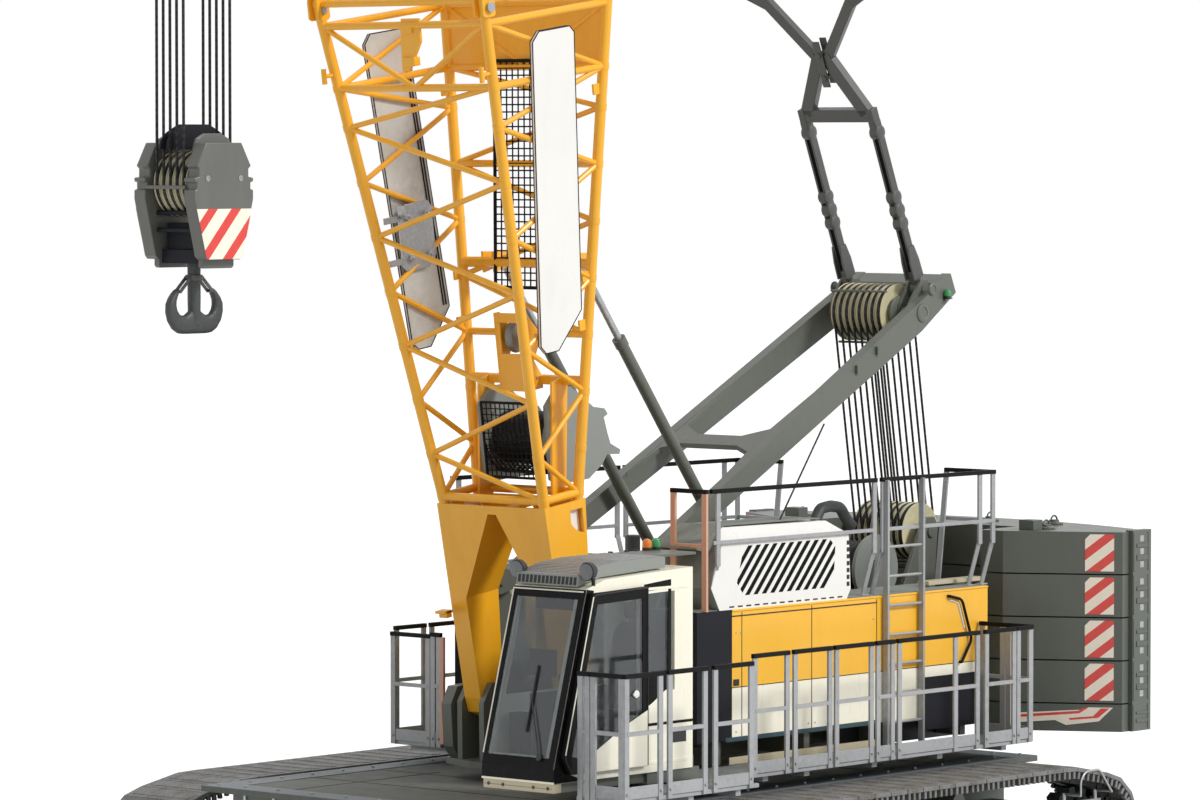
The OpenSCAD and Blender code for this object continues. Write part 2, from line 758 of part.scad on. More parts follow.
module cab_guard() {
  color("#8f9294") {
    side_plate([[2000, cab_roof(2000) + seat_gap], [2900, 3290 + seat_gap], [3100, cab_brow(3100) + seat_gap],
                [3170, 3330], [2800, 3420], [2000, 3440]], cab_in + 40, cab_out - 130);
  }
}

module cab_mount() {
  color(steel_grey) {
    box([1580, girder_y + seat_gap, 1420], [2300, 2200, 1530 - seat_gap]);
    box([900, girder_y + seat_gap, 1420], [1700, 1560, 1530 - seat_gap]);
    box([cab_rear, cab_in + 60, 1440], [cab_front - 60, cab_in + 160, 1530 - seat_gap]);
    box([cab_rear, cab_out - 200, 1440], [cab_front - 60, cab_out - 100, 1530 - seat_gap]);
    box([cab_front - 160, cab_in + 60, 1440], [cab_front - 60, cab_out - 100, 1530 - seat_gap]);
  }
}

// Gantry: two slightly toed-in arms with a cut-out web between them and the sheave head
arm_top0 = 3635;
arm_slope = 0.53;

function arm_top(x) = arm_top0 - arm_slope * x;
function arm_out(x) = gantry_out0 + gantry_skew * x;

tip_x = -4180;

module gantry_arms() {
  intersection() {
    side_plate([[tip_x, arm_top(tip_x)], [tip_x - 90, arm_top(tip_x) - 190], [tip_x + 480, arm_top(tip_x) - 560],
                [gantry_x - 150, gantry_z - 110], [gantry_x, gantry_z - 150], [gantry_x + 110, gantry_z - 90],
                [gantry_x + 140, gantry_z + 20], [gantry_x + 60, gantry_z + 130],
                [gantry_x - 120, arm_top(gantry_x - 120)]], -1000, 1000);
    union() for (k = [-1, 1])
      flat_plate([[-4400, k * (arm_out(-4400) - arm_w)], [-4400, k * arm_out(-4400)],
                  [1400, k * arm_out(1400)], [1400, k * (arm_out(1400) - arm_w)]], 2500, 6500);
  }
}

module gantry_web(x0, x1, y_half, drop) {
  side_plate([[x0, arm_top(x0) - drop], [x1, arm_top(x1) - drop], [x1, arm_top(x1) - drop - 45],
              [x0, arm_top(x0) - drop - 45]], -y_half, y_half);
}

module pendant_lug(y0, y1) {
  side_plate([[head_x - 100, head_z - 60], [head_x + 90, head_z - 40], [head_x + 70, head_z + 90],
              [pend_x + 85, pend_z + 40], [pend_x + 50, pend_z + 90], [pend_x - 60, pend_z + 90],
              [pend_x - 95, pend_z + 10], [pend_x - 90, pend_z - 120]], y0, y1);
}

module gantry() {
  color(steel_grey)
    difference() {
      union() {
        gantry_arms();
        difference() {
          gantry_web(-2150, -650, 600, 4);
          flat_plate([[-2300, -560], [-1460, -520], [-1330, -270], [-1330, 270], [-1460, 520],
                      [-2300, 560]], 3000, 6000);
          flat_plate([[-560, -610], [-1080, -550], [-1170, -350], [-1170, 350], [-1080, 550],
                      [-560, 610]], 3000, 6000);
        }
        cross_pin(tip_x + 60, -560, 560, 5720, 130);
        gantry_web(tip_x + 10, head_x - luff_sheave_d / 2 - 20, 540, 4);
        cross_pin(head_x, -560, 560, head_z, head_axle_d);
        both_sides() {
          pendant_lug(pend_y - pend_eye_w / 2 - run_gap - 30, pend_y - pend_eye_w / 2 - run_gap);
          pendant_lug(pend_y + pend_eye_w / 2 + run_gap, pend_y + pend_eye_w / 2 + run_gap + 30);
          cross_pin(pend_x, pend_y - pend_eye_w / 2 - run_gap - 40, pend_y + pend_eye_w / 2 + run_gap + 40, pend_z,
                    pend_pin_d - 2 * pin_fit, 48);
        }
      }
      for (k = [-1, 1])
        cross_pin(gantry_x, k * 750 - 200, k * 750 + 200, gantry_z, gantry_pin_d, 48);
    }
}

module gantry_sheaves() {
  color(sheave_cream)
    difference() {
      for (i = [0 : luff_n - 1])
        translate([head_x, (i - (luff_n - 1) / 2) * luff_pitch, head_z]) sheave(luff_sheave_d, luff_pitch - 8);
      cross_pin(head_x, -600, 600, head_z, head_axle_d + 2 * pin_fit, 48);
    }
}

// Pendants: two links from the gantry head to a triangular spreader, then a fork and two bars
// They are drawn lying along +X from the pin, then turned up to the boom head.
beam_s = 1861;
fork_s = 2640;
bar_s = 3470;
bar_y = 1130;
pend_top_s = boom_len - 400;
pend_top_t = 60;

function boom_point(s, y, t) = [
  foot_x + s * cos(boom_angle) - t * sin(boom_angle), y, foot_z + s * sin(boom_angle) + t * cos(boom_angle)
];

pend_v = boom_point(pend_top_s, 0, pend_top_t) - [pend_x, 0, pend_z];
pend_len = norm(pend_v);
pend_angle = atan2(pend_v[2], pend_v[0]);

module along_pendant() {
  translate([pend_x, 0, pend_z]) rotate([0, -pend_angle, 0]) children();
}

module link(s0, y0, s1, y1, d) { tube([s0, y0, 0], [s1, y1, 0], d, 12); }

module knuckle(s, y, w, d) { cross_pin(s, y - w / 2, y + w / 2, 0, d); }

module spreader() {
  color(steel_grey)
    along_pendant()
      difference() {
        union() {
          both_sides() {
            link(0, pend_y, beam_s, pend_y, 70);
            knuckle(0, pend_y, pend_eye_w, 170);
            for (s = [760, 990]) knuckle(s, pend_y, 100, 140);
            link(760, pend_y, 990, pend_y, 100);
            knuckle(beam_s, pend_y, 110, 150);
            link(fork_s, 60, bar_s - 150, bar_y - 90, 80);
            knuckle(fork_s, 90, 60, 150);
          }
          flat_plate([[beam_s - 70, -pend_y - 60], [beam_s - 70, pend_y + 60], [beam_s + 60, pend_y + 60],
                      [beam_s + 400, 90], [fork_s, 90], [fork_s, -90], [beam_s + 400, -90],
                      [beam_s + 60, -pend_y - 60]], -45, 45);
          link(bar_s - 150, -bar_y - 55, bar_s - 150, bar_y + 55, 110);
          both_sides() {
            knuckle(bar_s, bar_y, bar_eye_w, 150);
            box([bar_s - 150, bar_y - bar_eye_w / 2, -40], [bar_s, bar_y + bar_eye_w / 2, 40]);
          }
        }
        flat_plate([[beam_s + 60, -250], [beam_s + 60, 250], [beam_s + 250, 0]], -60, 60);
        cross_pin(0, -pend_y - 100, pend_y + 100, 0, pend_pin_d, 48);
        for (k = [-1, 1]) cross_pin(bar_s, k * bar_y - 150, k * bar_y + 150, 0, 60, 48);
      }
}

// A pendant bar: its lower end is a fork round the spreader bar's eye, its upper end an eye beside the boom head
bar_eye_w = 60;
fork_w = 120;

module pendant_bars() {
  color(steel_grey)
    along_pendant()
      both_sides() {
        difference() {
          union() {
            knuckle(bar_s, bar_y, fork_w, 150);
            link(bar_s, bar_y, bar_s + 200, bar_y, 110);
          }
          cross_pin(bar_s, bar_y - bar_eye_w / 2 - seat_gap, bar_y + bar_eye_w / 2 + seat_gap, 0, 240);
        }
        cross_pin(bar_s, bar_y - fork_w / 2, bar_y + fork_w / 2, 0, 60 - 2 * pin_fit, 48);
        link(bar_s + 180, bar_y, pend_len - 40, bar_y, 60);
        knuckle(pend_len, bar_y, 80, 150);
      }
}

// Backstops: a tube hinged on the frame and a rod that slides in it, up to an eye behind the boom
stop_foot = [stop_x, stop_y, stop_z];
stop_s = 4075;
stop_t = 700;
stop_v = boom_point(stop_s, stop_y, stop_t) - stop_foot;
stop_len = norm(stop_v);
stop_angle = atan2(stop_v[2], stop_v[0]);
stop_tube = 3000;
stop_bore_s = 180;
stop_bore_d = 80;
rod_s = 310;
rod_d = 70;

module along_stop() {
  translate(stop_foot) rotate([0, -stop_angle, 0]) children();
}

module backstop_tubes() {
  color(steel_grey)
    both_sides()
      along_stop()
        difference() {
          union() {
            rotate([90, 0, 0]) cylinder(h = stop_eye_w, d = 160, center = true);
            box([0, -stop_eye_w / 2, -45], [150, stop_eye_w / 2, 45]);
            translate([130, 0, 0]) rotate([0, 90, 0]) cylinder(h = stop_tube - 130, d = 114);
            translate([stop_tube - 90, 0, 0]) rotate([0, 90, 0]) cylinder(h = 90, d = 132);
          }
          translate([stop_bore_s, 0, 0]) rotate([0, 90, 0]) cylinder(h = stop_tube, d = stop_bore_d);
          rotate([90, 0, 0]) cylinder(h = 200, d = stop_pin_d, center = true, $fn = 48);
        }
}

module backstop_rods() {
  color(steel_grey)
    both_sides()
      along_stop() {
        translate([rod_s, 0, 0]) rotate([0, 90, 0]) cylinder(h = stop_len - rod_s, d = rod_d);
        translate([rod_s, 0, 0]) rotate([0, 90, 0]) cylinder(h = 120, d = stop_bore_d - 2 * pin_fit);
        translate([stop_len, 0, 0]) rotate([90, 0, 0]) cylinder(h = stop_eye_w, d = 130, center = true);
      }
}

// Boom: every section is drawn lying along +X with its own table of stations, then raised
module raised() {
  translate([foot_x, 0, foot_z]) rotate([0, -boom_angle, 0]) children();
}

foot_half_w = plate_w / 2;
foot_half_d = plate_d / 2;

function taper(s, a, b) = a + (b - a) * (s - plate_len) / (foot_len - plate_len);
function half_w(s) = s < foot_len ? taper(s, foot_half_w, boom_w / 2) : boom_w / 2;
function half_d(s) = s < foot_len ? taper(s, foot_half_d, boom_d / 2) : boom_d / 2;

// Plate part of the foot: two hollow legs that join in a V, with a D-shaped hole high on each side
leg_t = 25;
leg_edge = 50;

module leg_form(inset) {
  intersection() {
    side_plate([[-80, -130 + inset], [60, -160 + inset], [plate_len + inset, -foot_half_d - leg_edge + inset],
                [plate_len + inset, foot_half_d + leg_edge - inset], [60, 160 - inset], [-80, 130 - inset],
                [-150 + inset, 0]], -leg_out, leg_out);
    flat_plate([[-200, leg_in + inset], [-200, leg_out - inset], [plate_len + inset, leg_out - inset],
                [plate_len + inset, -leg_out + inset], [-200, -leg_out + inset], [-200, -leg_in - inset],
                [1030, -leg_in - inset], [1850 + inset, -50 - inset], [1850 + inset, 50 + inset],
                [1030, leg_in + inset]], -400, 400);
  }
}

module foot_plates() {
  color(boom_yellow)
    raised()
      difference() {
        union() {
          difference() {
            leg_form(0);
            difference() {
              leg_form(leg_t);
              box([-400, -800, -400], [260, 800, 400]);
            }
          }
          both_sides() box([plate_len - 60, foot_half_w - 60, -foot_half_d - 40], [plate_len, foot_half_w + 40, -foot_half_d + 60]);
          both_sides() box([plate_len - 60, foot_half_w - 60, foot_half_d - 60], [plate_len, foot_half_w + 40, foot_half_d + 40]);
        }
        cross_pin(0, -800, 800, 0, foot_pin_d, 48);
        intersection() {
          cross_pin(1860, -800, 800, 260, 480, 48);
          box([1620, -800, 60], [1850, 800, 230]);
        }
      }
}

module lacing(s, rear_from = 0) {
  // Zigzag on the four faces: at each station every chord takes one tube, from the next face round.
  // Below rear_from the rear face is left open.
  for (i = [0 : len(s) - 2]) {
    a = s[i];
    b = s[i + 1];
    k = i % 2 == 0 ? 1 : -1;
    for (f = [-1, 1]) {
      if (f < 0 || a >= rear_from)
        tube([a, -k * f * half_w(a), f * half_d(a)], [b, k * f * half_w(b), f * half_d(b)], lace_d, 10);
      tube([a, f * half_w(a), k * f * half_d(a)], [b, f * half_w(b), -k * f * half_d(b)], lace_d, 10);
    }
  }
}

module across(s, f, d) { tube([s, -half_w(s), f * half_d(s)], [s, half_w(s), f * half_d(s)], d, 10); }

module frame_at(s, d) {
  for (f = [-1, 1]) {
    across(s, f, d);
    tube([s, f * half_w(s), -half_d(s)], [s, f * half_w(s), half_d(s)], d, 10);
  }
}

module chords(a, b) {
  for (y = [-1, 1], z = [-1, 1])
    tube([a, y * half_w(a), z * half_d(a)], [b, y * half_w(b), z * half_d(b)], chord_d, 16);
}

// Cuts a section square at its two joint faces
module between(a, b) {
  difference() {
    children();
    box([a - 600, -1500, -1500], [a + seat_gap, 1500, 1500]);
    box([b, -1500, -1500], [b + 600, 1500, 1500]);
  }
}

brace_low = foot_len - 730;
brace_high = foot_len - 150;
bay_low = plate_len + 470;
bay_high = brace_low - 370;
foot_bays = 6;
foot_stations = concat(
  [plate_len + 60],
  [for (i = [0 : foot_bays]) bay_low + (bay_high - bay_low) * i / foot_bays],
  [brace_low]
);
post_s = 3010;
post_y = 440;
lug_s = foot_len - 600;
frame_d = 70;

module stop_lugs() {
  both_sides()
    for (y = [stop_y - stop_eye_w / 2 - 8 - 25, stop_y + stop_eye_w / 2 + 8])
      side_plate([[stop_s - 100, half_d(stop_s)], [stop_s + 100, half_d(stop_s)], [stop_s + 60, stop_t + 70],
                  [stop_s - 60, stop_t + 70]], y, y + 25);
  across(stop_s, 1, 100);
}

module foot_lattice() {
  color(boom_yellow)
    raised()
      between(plate_len, foot_len) {
        union() {
          chords(plate_len - 20, foot_len + 20);
          lacing(foot_stations, foot_stations[3]);
          for (k = [-1, 1], f = [-1, 1])
            tube([brace_low, 0, f * half_d(brace_low)],
                 [brace_high, k * half_w(brace_high), f * half_d(brace_high)], lace_d, 10);
          for (f = [-1, 1])
            tube([brace_low, f * half_w(brace_low), f * half_d(brace_low)],
                 [brace_high, f * half_w(brace_high), -f * half_d(brace_high)], lace_d, 10);
          frame_at(brace_low, frame_d);
          frame_at(brace_high, frame_d);
          frame_at(plate_len + 60, 80);
          across(foot_stations[6], 1, frame_d);
          across(foot_stations[3], 1, frame_d);
          across(post_s, 1, 90);
          stop_lugs();
          side_plate([[brace_low, half_d(brace_low) - 8], [brace_high, half_d(brace_high) - 8],
                      [brace_high, half_d(brace_high) + 8], [brace_low, half_d(brace_low) + 8]],
                     -half_w(brace_low), half_w(brace_low));
          both_sides() {
            side_plate([[plate_len, 60], [plate_len, 250], [post_s, half_d(post_s) + 40],
                        [post_s + 40, half_d(post_s)], [post_s, 200]], post_y, post_y + 25);
            tube([lug_s, half_w(lug_s), -half_d(lug_s)], [lug_s, half_w(lug_s) + 5, -half_d(lug_s) - 140], 40, 12);
            tube([lug_s - 70, half_w(lug_s) + 5, -half_d(lug_s) - 140],
                 [lug_s + 70, half_w(lug_s) + 5, -half_d(lug_s) - 140], 50, 12);
          }
        }
      }
}

module middle(i) {
  a = foot_len + i * insert_len;
  b = a + insert_len;
  bays = 8;
  color(boom_yellow)
    raised()
      between(a, b) {
        union() {
          chords(a - 20, b + 20);
          lacing([for (j = [0 : bays]) a + 60 + (b - a - 120) * j / bays]);
          frame_at(a + 60, frame_d);
          frame_at(b - 60, frame_d);
        }
      }
}

module middle_section_1() { middle(0); }
module middle_section_2() { middle(1); }

// Head section: the front chords run straight on, the rear ones close in on the head axle
head_s = boom_len - head_len;
axle_t = -946;
head_half = 560;
head_pin_d = 140;
end_s = boom_len - 350;

function head_rear(s) = boom_d / 2 - (boom_d / 2 - 60) * (s - head_s) / (end_s - head_s);
function head_front(s) = -boom_d / 2 + (boom_d / 2 - 430) * (s - head_s) / (end_s - head_s);
function head_w(s) = boom_w / 2 - (boom_w / 2 - head_half) * (s - head_s) / (end_s - head_s);

jib_pin_s = end_s - 250;
jib_pin_t = -270;
jib_pin_d = 80;

module head_section() {
  n = 8;
  st = [for (j = [0 : n]) head_s + 60 + (end_s - head_s - 160) * j / n];
  color(boom_yellow)
    raised()
      difference() {
        union() {
          for (y = [-1, 1]) {
            tube([head_s - 20, y * boom_w / 2, head_front(head_s - 20)], [end_s, y * head_half, head_front(end_s)],
                 chord_d, 16);
            tube([head_s - 20, y * boom_w / 2, head_rear(head_s - 20)], [end_s, y * head_half, head_rear(end_s)],
                 chord_d, 16);
            side_plate([[end_s - 500, head_front(end_s) - 90], [boom_len - 120, axle_t - 90], [boom_len, axle_t - 170],
                        [boom_len + 120, axle_t - 120], [boom_len + 170, axle_t], [boom_len + 60, head_front(end_s)],
                        [end_s + 60, head_rear(end_s) + 50], [end_s - 500, head_rear(end_s - 500) + 10]],
                       y * head_half - 30, y * head_half + 30);
            cross_pin(jib_pin_s, y * head_half - 50, y * head_half + 50, jib_pin_t, 2 * jib_pin_d);
          }
          for (j = [0 : n - 1]) {
            a = st[j];
            b = st[j + 1];
            k = j % 2 == 0 ? 1 : -1;
            tube([a, k * head_w(a), head_front(a)], [b, -k * head_w(b), head_front(b)], lace_d, 10);
            tube([a, -k * head_w(a), head_rear(a)], [b, k * head_w(b), head_rear(b)], lace_d, 10);
            for (f = [-1, 1])
              tube([a, f * head_w(a), k * f > 0 ? head_rear(a) : head_front(a)],
                   [b, f * head_w(b), k * f > 0 ? head_front(b) : head_rear(b)], lace_d, 10);
          }
          for (s = [st[0], st[n]]) {
            tube([s, -head_w(s), head_front(s)], [s, head_w(s), head_front(s)], 70, 10);
            tube([s, -head_w(s), head_rear(s)], [s, head_w(s), head_rear(s)], 70, 10);
            for (f = [-1, 1]) tube([s, f * head_w(s), head_front(s)], [s, f * head_w(s), head_rear(s)], 70, 10);
          }
          cross_pin(boom_len, -head_half - 40, head_half + 40, axle_t, head_pin_d);
          cross_pin(pend_top_s, -bar_y + 50, bar_y - 50, pend_top_t - 180, 120);
        }
        box([head_s - 300, -1500, -1500], [head_s + seat_gap, 1500, 1500]);
        cross_pin(jib_pin_s, -head_half - 100, head_half + 100, jib_pin_t, jib_pin_d, 48);
      }
}

hoist_x = foot_x + boom_len * cos(boom_angle) - axle_t * sin(boom_angle);
hoist_z = foot_z + boom_len * sin(boom_angle) + axle_t * cos(boom_angle);
head_pitch = 82;
fall_w = 60;

module head_sheaves() {
  color(sheave_cream)
    raised()
      difference() {
        for (i = [0 : block_n - 1])
          translate([boom_len, (i - (block_n - 1) / 2) * head_pitch, axle_t]) sheave(block_d, fall_w);
        cross_pin(boom_len, -700, 700, axle_t, head_pin_d + 2 * pin_fit, 48);
      }
}

// In and on the foot section: a winch between its side plates and a long board on each side
module boom_winch() {
  color("#8b8f92")
    raised() {
      cross_pin(2450, -380, 380, 430, 460, 48);
      for (y = [-380, 340]) cross_pin(2450, y, y + 40, 430, 600, 48);
      both_sides()
        side_plate([[2120, 120], [2800, 140], [2940, 300], [2930, 480], [2690, 770], [2650, 920], [2590, 960],
                    [2570, 900], [2420, 930], [2310, 960], [2230, 1090], [2190, 1070], [2220, 900],
                    [2140, 820], [2040, 620], [2060, 200]], 380, post_y - seat_gap);
    }
}

board_s = 3380;
board_len = 2950;
board_half = 285;
board_t = 30;
board_off = frame_d / 2 - 0.6;
side_tilt = atan((boom_w / 2 - foot_half_w) / (foot_len - plate_len));

module board() {
  color("#f2f2f0")
    raised()
      translate([0, half_w(0), 0])
        rotate([0, 0, side_tilt])
          side_plate([[board_s, -board_half + 70], [board_s + 70, -board_half], [board_s + board_len - 90, -board_half],
                        [board_s + board_len, -board_half + 90], [board_s + board_len, board_half - 60],
                        [board_s + board_len - 60, board_half], [board_s + 330, board_half],
                        [board_s, board_half - 330]],
                       board_off, board_off + board_t);
}

module board_left() { board(); }
module board_right() { mirror([0, 1, 0]) board(); }

// Hoist rope falls, hook block and hook, plumb under the head axle
fall_off = block_d / 2 - 6.5;

module hoist_ropes() {
  color(rope_black)
    for (i = [0 : block_n - 1], k = [-1, 1])
      translate([hoist_x + k * fall_off, (i - (block_n - 1) / 2) * head_pitch, block_z + 12])
        cylinder(h = hoist_z - block_z - 24, d = 26, $fn = 8);
}

block_low = 730;
hook_low = 1305;
horn_r = 160;
horn_d = 110;
shank_d = 110;

cheek_in = 240;
cheek_out = 374;

// Front edge of a ballast cheek from its top down, or the rear edge from the bottom up
function cheek_edge(k) =
  let (p = [[215, 356], [330, 155], [300, 130], [300, 62], [358, 52], [358, 20], [325, 12], [325, -44],
            [358, -54], [358, -130], [232, -625], [200, -655]])
  k > 0 ? p : [for (i = [len(p) - 1 : -1 : 0]) [-p[i][0], p[i][1]]];

module hook_block() {
  color(steel_grey)
    translate([hoist_x, 0, block_z]) {
      for (i = [0 : block_n - 1]) translate([0, (i - (block_n - 1) / 2) * head_pitch, 0]) sheave(block_d, fall_w);
      cross_pin(0, -cheek_out - 20, cheek_out + 20, 0, 120);
      both_sides() {
        side_plate([[-230, 300], [-200, 420], [-120, 520], [120, 520], [200, 420], [230, 300], [230, -100],
                    [-230, -100]], 205, 242);
        side_plate(concat(cheek_edge(1), cheek_edge(-1)), cheek_in, cheek_out);
        side_plate([[-190, -600], [190, -600], [190, -block_low + 20], [170, -block_low], [-170, -block_low],
                    [-190, -block_low + 20]], cheek_in, cheek_in + 60);
      }
      difference() {
        box([-150, -242, -block_low + 40], [150, 242, -block_low + 160]);
        translate([0, 0, -block_low]) cylinder(h = 300, d = shank_d + 2 * pin_fit, $fn = 48);
      }
      for (k = [-1, 1]) box([k * 330 - 20, -242, -44], [k * 330 + 20, 242, -12]);
    }
}

module hook() {
  arc_z = -hook_low + horn_r + horn_d / 2;
  color("#3c3f40")
    translate([hoist_x, 0, block_z]) {
      translate([0, 0, arc_z]) cylinder(h = -block_low + 240 - arc_z, d = shank_d, $fn = 48);
      translate([0, 0, -block_low + 160 + seat_gap]) cylinder(h = 70, d = 180, $fn = 6);
      for (side = [0, 180])
        rotate([0, 0, side])
          translate([horn_r, 0, arc_z])
            rotate([90, 0, 0]) {
              rotate([0, 0, 180])
                rotate_extrude(angle = 200, $fn = 48) translate([horn_r, 0]) circle(d = horn_d, $fn = 24);
              rotate([0, 0, 20]) translate([horn_r, 0, 0]) sphere(d = horn_d, $fn = 24);
            }
    }
}

carbody();
side_frame_left();
side_frame_right();
track_left();
track_right();
drive_sprockets();
idler_wheels();
deck_plates();
carbody_weights();
main_frame();
panels_upper();
panels_lower();
panels_front();
louvre_housing();
right_housing();
rear_deck();
hoist_winches();
luffing_winch();
luffing_sheaves();
luffing_ropes();
weight_base();
weight_1();
weight_2();
weight_3();
weight_4();
walkway_left();
railing_left();
walkway_right();
railing_right();
roof_railings();
cab_mount();
cab_shell();
cab_door();
cab_seat();
cab_guard();
gantry();
gantry_sheaves();
spreader();
pendant_bars();
backstop_tubes();
backstop_rods();
foot_plates();
foot_lattice();
middle_section_1();
middle_section_2();
head_section();
head_sheaves();
boom_winch();
board_left();
board_right();
hoist_ropes();
hook_block();
hook();
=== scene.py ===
import math
import bmesh
import bpy
from mathutils import Matrix, Vector


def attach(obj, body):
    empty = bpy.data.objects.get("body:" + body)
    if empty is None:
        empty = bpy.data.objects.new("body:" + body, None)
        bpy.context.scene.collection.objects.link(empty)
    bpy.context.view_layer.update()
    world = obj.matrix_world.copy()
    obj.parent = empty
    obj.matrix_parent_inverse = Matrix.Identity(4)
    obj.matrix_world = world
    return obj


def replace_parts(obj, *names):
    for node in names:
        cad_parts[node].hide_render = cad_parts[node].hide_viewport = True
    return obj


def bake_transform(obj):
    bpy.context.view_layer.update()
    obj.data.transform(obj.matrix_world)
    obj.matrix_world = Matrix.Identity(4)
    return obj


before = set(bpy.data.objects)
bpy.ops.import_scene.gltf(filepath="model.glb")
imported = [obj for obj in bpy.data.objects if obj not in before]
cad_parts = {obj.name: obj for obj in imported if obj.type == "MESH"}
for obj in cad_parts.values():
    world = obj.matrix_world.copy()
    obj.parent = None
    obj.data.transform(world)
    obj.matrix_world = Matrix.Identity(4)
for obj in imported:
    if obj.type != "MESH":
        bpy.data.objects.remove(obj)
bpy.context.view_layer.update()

print("frame loaded:", len(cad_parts), "nodes")


# Small tools

def linear(hexColour):
    rgb = [int(hexColour[i:i + 2], 16) / 255 for i in (1, 3, 5)]
    return [c / 12.92 if c <= 0.04045 else ((c + 0.055) / 1.055) ** 2.4 for c in rgb] + [1.0]


def addNode(tree, kind, inputs=None, **settings):  # a node given as an input passes on its first output
    node = tree.nodes.new(kind)
    for name, value in settings.items():
        setattr(node, name, value)
    for name, value in (inputs or {}).items():
        if isinstance(value, bpy.types.Node):
            value = value.outputs[0]
        if isinstance(value, bpy.types.NodeSocket):
            tree.links.new(value, node.inputs[name])
        else:
            node.inputs[name].default_value = value
    return node


def emptyTree(owner):  # of a material or a world
    owner.use_nodes = True
    owner.node_tree.nodes.clear()
    return owner.node_tree


def startMaterial(name):
    material = bpy.data.materials.new(name)
    tree = emptyTree(material)
    return material, tree, addNode(tree, "ShaderNodeTexCoord").outputs["Object"]


def perMetre(mm):
    return 1000.0 / mm


def tinted(colour, gain, lift=0.0):  # a lighter or darker shade of the same colour
    return [min(1.0, c * gain + lift) for c in linear(colour)[:3]] + [1.0]


# Sprayed machine enamel: smooth and half glossy, with a soft orange peel, slightly uneven in tone,
# and with thin dust that rain has drawn down the plates
def enamel(name, colour, dust="#8a867b", share=0.16, rough=0.36, coat=0.25):
    material, tree, place = startMaterial(name)
    drawn = addNode(tree, "ShaderNodeMapping", {"Vector": place, "Scale": (1.0, 1.0, 0.2)})
    runs = addNode(tree, "ShaderNodeTexNoise", {
        "Vector": drawn, "Scale": perMetre(160), "Detail": 6.0, "Roughness": 0.65})
    cloud = addNode(tree, "ShaderNodeTexNoise", {"Vector": place, "Scale": perMetre(900), "Detail": 3.0})
    peel = addNode(tree, "ShaderNodeTexNoise", {  # 3 mm peel, drawn at 12 mm so that it shows
        "Vector": place, "Scale": perMetre(12), "Detail": 2.0})
    clouded = addNode(tree, "ShaderNodeMapRange", {
        "Value": cloud, "From Min": 0.35, "From Max": 0.65, "To Min": 0.0, "To Max": 0.1})
    toned = addNode(tree, "ShaderNodeMix", {
        0: clouded, 6: linear(colour), 7: linear(dust)}, data_type="RGBA")
    streaked = addNode(tree, "ShaderNodeMapRange", {
        "Value": runs, "From Min": 0.5, "From Max": 0.78, "To Min": 0.0, "To Max": share})
    dusty = addNode(tree, "ShaderNodeMix", {
        0: streaked, 6: toned.outputs[2], 7: linear(dust)}, data_type="RGBA")
    dulled = addNode(tree, "ShaderNodeMapRange", {
        "Value": runs, "From Min": 0.3, "From Max": 0.8, "To Min": rough - 0.05, "To Max": rough + 0.16})
    relief = addNode(tree, "ShaderNodeBump", {"Height": peel, "Strength": 0.05, "Distance": 0.001})
    shader = addNode(tree, "ShaderNodeBsdfPrincipled", {
        "Base Color": dusty.outputs[2], "Roughness": dulled, "Normal": relief,
        "Coat Weight": coat, "Coat Roughness": 0.22, "Specular IOR Level": 0.5 if coat else 0.12})
    addNode(tree, "ShaderNodeOutputMaterial", {"Surface": shader})
    return material


# Rolled or cast steel that rubs on the ground or on itself: dull grey, with dried soil in the low places
def wornSteel(name, colour, soil, soilShare, metallic, rough, grainMm):
    material, tree, place = startMaterial(name)
    grain = addNode(tree, "ShaderNodeTexNoise", {
        "Vector": place, "Scale": perMetre(grainMm), "Detail": 8.0, "Roughness": 0.7})
    patch = addNode(tree, "ShaderNodeTexNoise", {
        "Vector": place, "Scale": perMetre(grainMm * 9), "Detail": 4.0})
    caked = addNode(tree, "ShaderNodeMath", {0: grain, 1: patch}, operation="MULTIPLY")
    soiled = addNode(tree, "ShaderNodeMapRange", {
        "Value": caked, "From Min": 0.2, "From Max": 0.36, "To Min": 0.0, "To Max": soilShare})
    mixed = addNode(tree, "ShaderNodeMix", {0: soiled, 6: linear(colour), 7: linear(soil)}, data_type="RGBA")
    rubbed = addNode(tree, "ShaderNodeMapRange", {
        "Value": grain, "From Min": 0.3, "From Max": 0.7, "To Min": rough - 0.1, "To Max": rough + 0.15})
    relief = addNode(tree, "ShaderNodeBump", {"Height": grain, "Strength": 0.25, "Distance": 0.003})
    shader = addNode(tree, "ShaderNodeBsdfPrincipled", {
        "Base Color": mixed.outputs[2], "Metallic": metallic, "Roughness": rubbed, "Normal": relief})
    addNode(tree, "ShaderNodeOutputMaterial", {"Surface": shader})
    return material


